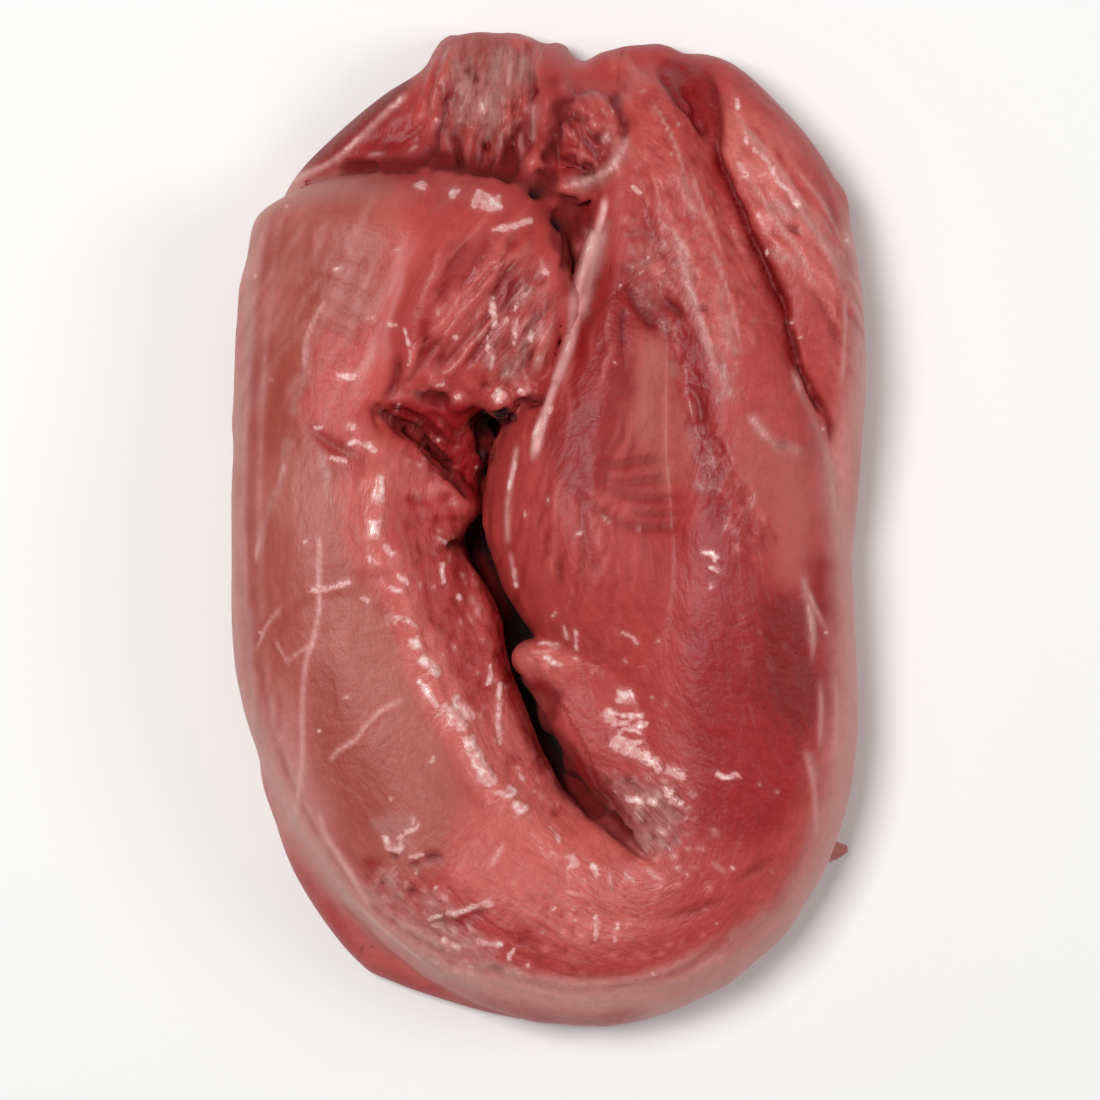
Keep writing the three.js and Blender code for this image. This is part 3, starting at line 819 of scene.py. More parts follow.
# The thin limb: its crest with painted glints and sheen of wet light, its wrinkles and the fine lines of its
# silverskin
thinLimb = {
    "crestSheen": [
        ((-44, -6), (-39, -20), (-34.6, -30), (-28.4, -41), (-22, -53), (-16, -65), (-9, -74), (0, -84),
         (7, -92)), (0.7, (-46, 16), (-47, 6), (-46, -4)), (0.8, (-38, -24), (-33, -31), (-29, -38)),
        (0.9, (-24, -49), (-20, -57), (-15, -65)),
    ],
    # the crest ridge, lighter with painted sheen
    "ridge": [
        (2.6, (-45, 14), (-47, 2), (-43, -12), (-38, -26), (-32, -41), (-25, -54), (-16, -68), (-6, -78),
         (6, -90)), (1.6, (-42, -24), (-34, -38), (-26, -52), (-17, -67), (-6, -78)),
    ],
    "gap": [(0.7, (-28, -4.6), (-23, -3.8), (-18, -3))],
    "shade": [
        (0.9, (-20, -6), (-16, -14), (-13, -24), (-12, -34), (-9, -45), (-5.4, -54), (-3, -60), (1, -67)),
        (0.8, (-66, 28), (-60, 24), (-52, 19)),
    ],
    "faint": [
        ((-68, 70), (-58, 67), (-46, 61)), ((-67, 63), (-57, 60), (-46, 54)),
        ((-66, 57), (-57, 54), (-48, 49)), ((-58, 73), (-48, 69)), ((-62, 24), (-54, 20), (-47, 18)),
        ((-54, -12), (-46, -13), (-42, -11)), ((-60, -18), (-68, -21), (-75, -27)),
        ((-70, -24), (-74, -31), (-71, -36)), ((-77, -24), (-79, -32)), ((-58, 16), (-66, 12)),
        ((-54, 2), (-50, -7)), ((-62, -20), (-54, -18), (-46, -21), (-42, -25)), ((-73, -44), (-73, -56)),
    ],
    "pale": [
        (1.1, (-66, 52), (-65.5, 42), (-68, 36), (-69, 30)), ((-70, 26), (-72, 15), (-76, 4), (-79, -8)),
        (1.3, (-66, -62), (-67, -70), (-68, -80)), ((-80, -20), (-80, -44), (-77, -58)),
        ((-62, 22), (-58, 6)),
    ],
    "membrane": [
        (1.2, (-62, -2), (-62, -20), (-63.5, -30), (-65.5, -36), (-66.5, -48), (-66.5, -62), (-68, -78)),
        ((-39, -46), (-45, -49), (-50, -54), (-52, -57), (-57, -60), (-59, -63)),
        (0.8, (-66, 50), (-66, 43)), (0.8, (-71, 18), (-73, 12)), (0.8, (-78, -2), (-79, -9)),
        (0.7, (-60, 62), (-63, 57), (-66, 50)), (0.7, (-72, -21), (-76, -26), (-79, -33)),
        (0.7, (-71, -36), (-64, -31)), (0.7, (-74, -30), (-70, -37)),
    ],
    "glint": [
        (1.2, (-58, 41.3), (-54, 40.8), (-51, 41.4)), (0.9, (-63.5, 27), (-60, 27.2)),
        (1.2, (-55, 28), (-52, 27)), ((-55, 22.6), (-50, 22.4), (-46, 21)),
        (0.9, (-60, 20), (-57, 18.7), (-54, 18.6)), (0.8, (-49, 57), (-46, 56.4)),
        (0.8, (-43.5, 55.4), (-41, 54.6)), (0.6, (-39.5, 54.4), (-38, 50), (-37.4, 44)),
        (1.0, (-65, -17), (-60, -16.4), (-57, -15.6), (-53, -14.2)), (1.3, (-45, 14), (-46, 9), (-47, 6)),
        ((-47.5, 2.5), (-46.5, -3)), ((-44.5, -4), (-42, -7.4)), ((-49, -8), (-45, -10)),
        ((-41, -12.5), (-38, -15.7)), ((-43.6, -15.7), (-40, -18)), ((-50.5, -19), (-47.5, -19.6)),
        ((-42, -24.6), (-38, -24.6), (-35, -27)), ((-36, -41), (-33, -44), (-30, -48)),
        ((-15, -71), (-11, -73)), ((-9, -64.6), (-6.6, -68)), ((0.5, -80), (3, -85)), ((9, -94), (10, -96)),
        (1.1, (12, -90), (12.4, -94)), (1.2, (-13, -41), (-13.4, -50), (-13, -58)),
        ((-28.5, -9), (-28.5, -15)), ((-24.4, -18), (-24.4, -20)), ((-15.8, -36), (-15.8, -42)),
        ((-30, -2), (-27, -4)), ((-36, 93), (-34, 93)), ((-20, 91.6), (-18, 91)),
        ((-15, 80.6), (-12, 81), (-8, 82)), ((-7, 82.6), (-4, 83.4)),
    ],
    "glintCluster": [
        (0.9, (-47.4, 3), (-46.4, -3)), (0.9, (-37.6, -29), (-35.4, -33.4)),
        (1.1, (-35, -34.6), (-32.4, -37.4), (-29.6, -40)), (1.2, (-29.6, -48), (-26.4, -51), (-23.6, -55)),
        (1.1, (-26.4, -45), (-22.8, -49), (-21.6, -52.4)),
        (1.3, (-22.4, -56), (-20, -61), (-17.6, -66), (-15.6, -69.6)), (1.0, (-10, -74.6), (-6.6, -77.4)),
        (0.9, (5.6, -87.6), (7.6, -91.4)), (1.0, (-26.6, 91.8), (-24, 90.6)),
        (1.2, (-21, 88.8), (-16, 88), (-12, 88.6)), (0.7, (-45, 14), (-46, 8)),
        (0.9, (-12.4, -70.4), (-9.4, -73)),
    ],
    "spot": [
        ((-75, 40),), ((-41, 75),), ((-57, 70),), ((-79, 68.6),), ((-54, -45),), ((-62, -54),),
        ((-66, -4),), (2.2, (-34, 93)), (0.9, (-32, -64), (-31, -61)), ((-78, -28),), ((-71, 87),),
        ((-43, -73),),
    ],
}

# The tail, doubled back over the thin limb, with its torn end, and the pocket below it
tail = {
    "shade": [
        (0.9, (-21, 79), (-26, 70), (-29.5, 60)), (0.8, (-15, 80), (-20, 72), (-24, 64)),
        (1.0, (-34, 58), (-33, 50), (-36, 44)), (0.8, (-12, 78), (-6, 76)), (1.2, (-6, 72), (-3, 66)),
        (1.1, (-9, 69), (-10.6, 62), (-11.6, 56)),
    ],
    "groove": [
        (1.1, (-8, 73), (-12, 68), (-17, 61), (-22, 54), (-27, 48), (-31, 42)),
        (0.8, (-12, 66), (-18, 55), (-24, 48), (-29, 42)), (0.7, (-13, 58), (-17, 51), (-23, 43)),
        (1.2, (-41.4, 48), (-41, 42), (-42.4, 37), (-45, 33.6)), (0.8, (-33, 52), (-32.4, 49)),
        (0.7, (-17.4, 40), (-17, 37)), (0.8, (-9, 46), (-13, 40)), (0.7, (-2, 62), (-6, 50), (-7, 43)),
        (0.5, (-39, 32), (-33, 27), (-28, 22), (-25, 17)), (0.5, (-32, 32), (-27, 28), (-23, 24)),
        (0.8, (-7, 69), (-9.4, 64), (-11, 59)),
    ],
    "ridge": [
        (0.9, (-12, 74), (-17, 66), (-23, 59), (-29, 52)), (0.8, (-15, 63), (-21, 55), (-28, 46)),
        (0.7, (-16, 56), (-23, 47), (-28, 41)), (1.0, (-4, 78), (-9, 74), (-13, 70)),
        (1.0, (-36, 50), (-38, 40)),
    ],
    "pale": [
        (0.8, (-5, 66), (-8, 60)), (1.6, (-3, 58), (-6, 50), (-9, 42)), (1.6, (-12, 47), (-10, 40)),
        (1.2, (-1, 48), (-3, 42)), (0.9, (-18, 47), (-15, 43)), (1.0, (-8, 63), (-4, 66)),
    ],
    "membrane": [
        (0.8, (-29.8, 60), (-29.8, 57)), (0.9, (-2, 73), (-1, 68)), (0.9, (-8, 62), (-4, 65)),
        ((-6, 40), (-5, 36)),
    ],
    "glint": [
        (1.3, (-14.5, 63), (-14.4, 58), (-14.6, 54)), (1.1, (-25.4, 51), (-23.6, 52.6)),
        (1.2, (-4.4, 54), (-5.4, 50.5)), (1.4, (-2, 70), (1, 69.4)),
        (1.7, (-15, 38), (-12.6, 36), (-12.4, 34)), ((-14, 81), (-10, 82), (-4, 83.6)),
        (0.9, (-31, 39), (-28, 39)), (0.9, (-8, 37), (-6, 36.6)),
    ],
    "pit": [
        (1.0, (-19, 30.4), (-15, 29.4), (-9, 31.4)), (1.2, (-17.4, 28), (-14.5, 26)),
        (0.7, (-17.4, 24), (-17, 18)),
    ],
    "gap": [
        (0.8, (-46, 31), (-42, 29.4), (-36, 25), (-32, 21), (-28, 17), (-24, 12.4), (-21, 8.6)),
        (0.9, (-36, 35.4), (-31, 35), (-26.6, 33.6)), (1.2, (-20, 30), (-18, 26), (-17.6, 20)),
        (0.7, (-9, 33.2), (-4, 34.6), (-1, 36)),
    ],
    "spot": [
        (1.8, (-26, 36), (-23, 35)), (2.4, (-14, 36),), (1.4, (-29.6, 24),), (0.9, (-25, 22),),
        (0.9, (-20, 17),), (0.8, (-34, 21),), (0.9, (-41, 34), (-41, 31)),
    ],
}


def finishClay(clay):
    clay.store()
    mesh = clay.mesh
    for name in ("gloss", "glintAndFleck", "film", "torn", "calm"):
        mesh.attributes.new(name, "FLOAT", "POINT").data.foreach_set("value", getattr(clay, name))
    mesh.attributes.new("flow", "FLOAT_VECTOR", "POINT").data.foreach_set("vector", clay.flow.ravel())
    paint = np.column_stack((np.clip(clay.paint, 0, 1), np.ones(len(clay.paint))))
    mesh.attributes.new("paint", "FLOAT_COLOR", "POINT").data.foreach_set("color", paint.ravel())


# The flap behind the tail, its hanging folds, and the knot of loose tissue beside it
flap = {
    "shade": [
        (1.6, (-64, 97), (-54, 106), (-44, 114)), (1.2, (-52, 104), (-40, 105), (-32, 108)),
        (1.4, (-9, 98), (-11, 94)), (1.2, (-26, 122), (-27, 112)), (1.0, (3, 118), (0, 124)),
    ],
    "pale": [
        (2.2, (-24, 127), (-22, 116), (-21, 108)), (2.2, (-13, 130), (-14, 118), (-16, 108)),
        (1.8, (-6, 128), (-8, 120)), (2.0, (-17, 124), (-18, 112)), (1.2, (-3, 116), (-4, 108)),
        (0.9, (-29, 125), (-29, 119)), (0.9, (-8, 102), (-8, 98)), (1.4, (-17, 109), (-16, 104)),
    ],
    "strand": [
        ((-30, 128), (-33, 118), (-36, 110)), ((-26, 130), (-30, 118), (-31, 108)), ((-13, 104), (-15, 98)),
        ((-4, 130), (-2, 122)), (1.6, (6, 124), (12, 124)), (1.4, (-10, 132), (-4, 131)),
        ((-5, 98), (-3, 94)),
    ],
    "membrane": [
        (1.4, (-69, 94), (-60, 98.6), (-55, 102), (-50, 107), (-45, 111.6), (-38, 117.4)),
        ((-10, 127), (-11, 119)), ((-18, 117), (-18.6, 111)), ((-4, 115), (-4, 104)),
        (0.8, (-49, 101), (-44, 102)), (0.8, (-38, 102), (-35, 104)),
    ],
    "glint": [
        (0.9, (-56, 101.4), (-51, 105.6)), (0.9, (-43, 113.4), (-39, 116.6)),
        (0.8, (-18, 115.6), (-18.4, 112)),
    ],
    "crease": [
        (1.3, (-22, 126), (-20, 122), (-18.6, 120)), (1.1, (-27, 118), (-28, 112), (-30, 106), (-31, 101)),
        ((-24, 104), (-26, 98)), (1.0, (-5, 119), (-2, 117)), ((-33, 104), (-34, 99)),
        (1.4, (17, 119), (19, 114), (21, 108)), ((6, 113), (11, 109)), (0.9, (20, 112), (21, 104)),
    ],
    "gap": [
        (0.9, (-57, 96.6), (-51, 97.8), (-46, 99)), (1.4, (-46, 99), (-40, 99.6), (-33, 99.4)),
        (1.2, (-33, 98.6), (-24, 98.8), (-14, 97.4), (-9, 95.4)),
        (1.2, (-25.4, 108), (-24.6, 103), (-24, 98)), (1.3, (-7.4, 111), (-8.6, 105), (-9.6, 98)),
        (1.5, (-9.4, 107), (-11, 102), (-12, 98)), (0.5, (-15, 102), (-16, 98)),
        (0.8, (-32, 104), (-33, 100)), (1.2, (7, 117), (3, 114), (1.4, 108), (0.4, 102), (0, 98)),
        (1.3, (-27, 101), (-22, 101.6)), (1.4, (7.6, 96), (12.4, 95.4)),
        (0.7, (12.6, 106.4), (14.6, 104.6)), (1.1, (5, 84), (6, 76), (5, 69)), (0.9, (9, 86), (8, 78)),
        (1.2, (-4, 94), (-1, 96)), (1.0, (2, 88), (8, 88.6)), (0.9, (4, 100), (8, 100)),
    ],
    "pit": [
        (0.7, (-5.4, 90.4), (-1.4, 90.6)), (0.8, (0.8, 85), (4.6, 81.6)),
    ],
    "ridge": [
        (1.2, (12, 117), (16, 113), (18.4, 107)), (1.0, (5, 115), (10, 112), (14, 107)),
        (1.1, (-4, 100), (-6, 95)), (1.0, (2, 92), (8, 91)), (1.2, (16, 126), (22, 124), (28, 118)),
    ],
    "spot": [
        (0.9, (17, 113), (17.6, 111)), (0.9, (6, 107.6), (7.4, 106)), ((-30, 110),), ((26, 118),),
    ],
}

# The membrane between the knot and the fat, and the fat along the edge that hangs over the cleft
fatEdge = {
    "pale": [
        (2.0, (21, 106), (18.6, 100), (16, 96.6), (12, 94.4), (6, 93)), (1.2, (15, 107), (16, 103)),
        (1.2, (16, 84), (14, 74), (11, 64), (9, 56)),
    ],
    "fat": [
        (0.7, (15.4, 89.5), (14.4, 84), (13, 79)), (1.8, (13.4, 81), (11.8, 74.6), (9.2, 66), (7.6, 60)),
        (1.5, (9, 64), (7.6, 58)), (1.1, (8, 62), (6.2, 52), (4.4, 46), (1.8, 39)),
        (0.75, (2.2, 40), (0, 34), (-1.4, 30)), (0.95, (-1.2, 31), (-2.6, 26), (-3.9, 20)),
    ],
    "membrane": [
        (1.1, (-3.7, 22), (-4.4, 18)), (1.2, (-8.4, 22.6), (-10, 14), (-11.2, 5), (-10.9, -4)),
        ((-10.4, -6), (-9, -14)), (1.2, (21.6, 106), (19, 100.6), (15, 96), (6, 93)),
        ((16, 108), (15, 104)),
    ],
    "glint": [
        (1.1, (12, 79), (9.8, 71), (8, 63)), (0.9, (6.4, 52), (5, 47)),
        (1.0, (0.2, 34), (-1.6, 29), (-3.4, 23)), (0.7, (-9, 18), (-11, 10)), (1.2, (22, 93), (24.6, 91)),
        (0.7, (-9.4, -10), (-8.6, -16)),
    ],
}

# The thick limb
thickLimb = {
    "shade": [
        (1.5, (38, 56), (39.6, 40), (41.6, 26), (44, 12), (47, -2)),
        (1.3, (20, 70), (22, 62), (26, 57), (31, 52)), (1.2, (29, 64), (34, 58)),
        (1.4, (72, -6), (74, -16), (74, -26)), (1.0, (33, 118), (38, 112)),
        (1.4, (36, 120), (42, 112), (43, 106)), (1.1, (20, 60), (20, 48), (21, 34)),
        (0.9, (44, 104), (46, 96), (51, 86), (55, 76), (60, 64), (64, 52), (68, 40)),
        (1.0, (6, -61), (12, -68), (22, -81)), (1.0, (-6, -41.6), (1, -42)),
    ],
    "gap": [
        (1.6, (4, -66), (10, -72), (15, -77)), (1.0, (15, -77), (19, -81), (22, -84)),
        (0.4, (45.6, 104), (47, 97), (50, 90), (53, 82.8), (56, 76), (59.6, 68.6), (63.4, 60), (66, 52),
         (68, 45)), (0.4, (68, 45), (70.4, 38), (74, 31)),
    ],
    "line": [
        ((74.6, 24), (76.4, 14), (77.4, 4)), ((68.4, -13), (71.6, -20), (75.4, -28)),
        ((71, -17), (71.4, -26), (71.2, -36)), ((73.4, -41), (73.6, -50), (73.2, -60)),
        ((69, -60), (71.6, -69), (72.4, -84)), ((77.4, -40), (77.8, -50), (77, -62)),
        ((50, 113), (58, 101), (66, 89), (73, 79), (79, 68)), (0.7, (54, 108), (62, 98), (70, 86)),
        (0.8, (53, 96), (60, 86), (68, 74), (73, 64)), (0.8, (34, 81), (36, 72), (41, 58), (45, 45)),
        (0.7, (38, 98), (42, 86), (47, 74)), (0.7, (44, 76), (49, 62), (52, 48)),
        (0.7, (66, 98), (74, 88), (80, 76)), (0.6, (28, 116), (34, 104), (38, 92)),
        (0.7, (80, 64), (80, 50), (79, 38)),
    ],
    "groove": [
        (0.8, (29, 124.5), (34.6, 117), (40, 110.6), (43.8, 104)),
        (1.1, (42, 125), (44.6, 118), (45.6, 110), (45.6, 101)),
        (0.7, (45, 105), (46.4, 97), (49.4, 90.6), (52.4, 84), (55, 77.6), (58.6, 71), (62, 64), (64.6, 56),
         (66, 48), (68.4, 43), (73, 35), (76, 29), (77, 22)),
        (1.7, (54, 80), (57.6, 72.6), (61.6, 64.6), (64.4, 57)),
    ],
    "crease": [
        (1.2, (21, 66), (24, 60), (29, 54)), (0.8, (20, 60), (20, 50)), ((30, 62), (37, 56)),
        (0.9, (40, 59.6), (44, 59)), (0.8, (62, 22.4), (66, 22)), (0.8, (64, 82), (68, 79)),
    ],
    "wrinkle": [
        (1.2, (12.6, 19.3), (15.8, 17.1), (23.4, 18), (33, 19.3)),
        (1.2, (12.6, 16), (18, 12.8), (25.6, 12.8), (34, 14)),
        (1.3, (12.6, 13.9), (17, 10.4), (25.6, 8.5), (36.5, 7.9)),
        (1.3, (5, 11.7), (11.5, 6.3), (19, 1.9), (25.6, 0.3), (37, 0.9)),
        (0.9, (22, 4.6), (30, 4), (38, 4.6)), ((10, 22), (10, 12)), ((9.3, 8), (9.3, -12)),
        ((70, 66), (75, 58), (79, 48)), ((74, 92), (80, 78)), ((41, 40), (41, 24)), ((2, -4), (3, -18)),
        ((12, -6), (12, -14)), ((50, -96), (62, -88)), ((30, -106), (48, -100)),
    ],
    "pale": [
        (1.3, (34, 80), (37, 73), (38, 66), (40, 58), (42, 51), (46, 44), (50, 34)),
        (1.2, (45, 66), (48, 56), (50, 46)), (1.1, (66, 44), (69, 34), (74, 24), (77, 12)),
        (1.4, (54, 32), (58, 26), (62, 22.6), (69, 20.4)), (1.1, (69, -12), (70.4, -22), (72, -32)),
        (1.0, (70, -60), (73, -68)), (1.6, (66, 90), (76, 76), (80, 66)), (1.1, (33, 46), (34, 40)),
        (1.3, (38, 12), (42, 11)), (1.6, (58, 88), (68, 84)), (1.2, (36, 96), (40, 84)),
        (1.4, (60, 76), (68, 70)), (2.2, (26, -74), (30, -70)), (1.4, (24, -82), (28, -86)),
    ],
    "membrane": [
        (0.9, (54, 31), (57, 27), (60, 23.6)), (0.8, (-5, -33.4), (0, -33), (4, -31)),
        (0.8, (14, 4), (17, 1)), (0.8, (24.4, 1), (24.6, -1)), (0.8, (35, 79), (38, 74)),
        (0.8, (36, 68), (38, 64)), (0.8, (66, 42), (68, 37)), (0.8, (26, -91), (30, -95)),
        (0.8, (44, -90), (48, -93)), (0.8, (70, -20), (71, -28)),
    ],
    "glint": [
        (0.9, (53, 107.6), (54, 104)), ((55, 103), (59, 99), (62, 94.4), (66, 89.4), (68, 86)),
        (1.6, (51, 99.4), (54, 95)), (1.0, (51, 117), (51, 113)), (0.9, (56, 85), (58, 84)),
        (0.9, (59, 75.6), (59.6, 74)), (0.9, (15, -50), (26, -50.6)), (0.8, (15.6, -52), (27, -52.6)),
        (0.8, (16, -54), (26, -54.4)), (0.7, (17, -57), (26, -57)), (1.0, (31, -71.4), (37, -74)),
        (0.9, (30, -70), (34, -71)), (1.1, (45, -65.6), (48, -66.8), (52, -66.6)),
        (1.0, (41, -6), (44, -6.4), (46, -8.6)), (1.1, (44, -11), (47, -11)),
        ((19, -27.5), (22, -28.6), (24.6, -30.8)), (0.9, (20, -36), (21, -35)),
        (0.8, (18.6, 45.6), (18, 44.6)), (0.8, (-3, -31.6), (3, -30.6)), (0.7, (4, -26), (5, -30)),
        (0.8, (7, -27), (7.6, -33)),
    ],
    "glintCluster": [
        (1.3, (17.6, -45.4), (23.6, -45.4)), (0.8, (15.4, -49), (17, -52)),
        (1.3, (17, -56), (19.6, -58.6), (23, -60.6)), (1.0, (22, -60), (27, -62.4), (31, -64.6)),
        (0.7, (31, -64.6), (36.6, -67.8)), (0.6, (20, -72), (30, -75)), (0.6, (-2, -34), (4, -37)),
    ],
    "spot": [
        (1.2, (0, 8),), ((-6, 5), (-6, 3)), ((8, -1),), ((7, -27.6),), ((7, -35),), ((1, -24),),
        ((12, -39),), ((57, -69),), ((62, -71),), ((61, -93),), ((57, -28),), ((27, 73),), ((25, 70),),
        ((28, 66),), ((19, 66),), ((44, -15.6),), ((29, -46),), ((32, -47),), ((74, 27),), ((33, 101),),
        ((35, 109),), ((80, 78),), ((68, 52),), ((66, 56),), ((18, -65),), ((18, -71),), ((2, -23),),
        ((30, -30),), ((75, -28),), ((50, -92),),
    ],
}

# The fold between the limbs, its torn silverskin, and the membrane along its lower edge
fold = {
    "shade": [
        (0.9, (-34, -107), (-26, -106), (-18, -104)),
        (1.0, (-50, -88), (-46, -94)),
    ],
    "crease": [
        (1.2, (-43.6, -87.6), (-40.6, -88.6)), (1.2, (-38, -90.8), (-34.6, -90.4)),
        (1.2, (-34, -89), (-28.4, -89.2)), ((-47, -96), (-44, -96)), ((-38, -98), (-35, -98)),
        ((-32, -106.6), (-27, -106)), ((-42, -100), (-40, -100)), (0.9, (-16, -118), (-12, -119)),
        (0.8, (-20, -104), (-16, -103)),
    ],
    "pale": [
        (2.6, (-44, -92), (-38, -104), (-28, -114)), (2.4, (-34, -98), (-26, -110), (-14, -116)),
        (1.6, (-50, -96), (-44, -102)), (1.5, (-63, -82), (-58, -92), (-53, -99.6), (-44, -108)),
        (1.5, (-44, -108), (-36, -115), (-28, -120.6), (-18, -124)),
        (2.6, (-12, -122), (4, -125), (22, -127)), (1.5, (20, -124), (36, -122), (46, -117)),
        (1.5, (48, -112), (60, -103)), (1.3, (-24, -110), (-16, -111)), (2.2, (-20, -118), (-8, -121)),
        (1.8, (-48, -80), (-42, -80)),
    ],
    "membrane": [
        (1.2, (-62, -76), (-60, -83), (-56, -89), (-52, -96), (-48, -102)),
        (0.9, (-52, -101), (-42, -110), (-34, -116)), ((-12, -85), (-16, -92)),
        (0.8, (17, -98), (16.4, -92)), (0.8, (21, -92), (21, -95)),
    ],
    "glint": [
        (1.5, (-44, -82), (-43, -86), (-40, -86.6)), (1.2, (-40, -82), (-39.6, -87)),
        (0.9, (-39, -82), (-35.6, -81)), (1.0, (-37, -77), (-35.4, -80.6)), (0.9, (-38, -88.6), (-33, -88)),
        (1.2, (-33, -106), (-29, -104)), (1.4, (-28, -103.6), (-24, -103.4)),
        (1.2, (-24, -102.6), (-19, -102), (-14.6, -100.8)), (1.2, (-29, -110.4), (-23, -113)),
        (1.1, (-20, -110.8), (-16, -112.4)), (1.0, (-16, -112), (-12, -112)),
        (0.9, (-22, -118), (-20, -118)), (0.9, (-10, -114), (-10.4, -117)),
        (1.0, (12.6, -104.6), (12.4, -111)), (0.9, (18.6, -106), (17.6, -112)),
        (0.9, (-9, -113), (-9.4, -115)), (0.9, (0.6, -87.6), (1.4, -88.6)),
    ],
    "spot": [
        ((7, -105.6),), ((-2, -109),), ((1, -103),), ((28, -120),), ((45, -106),), ((-41, -93),),
        ((-33, -96),), ((-36, -93),), ((-30, -97),), ((-28, -100),), ((40, -91.6),), ((37, -93),),
        ((33, -86),), ((-5, -118),), ((-30, -117),),
    ],
}

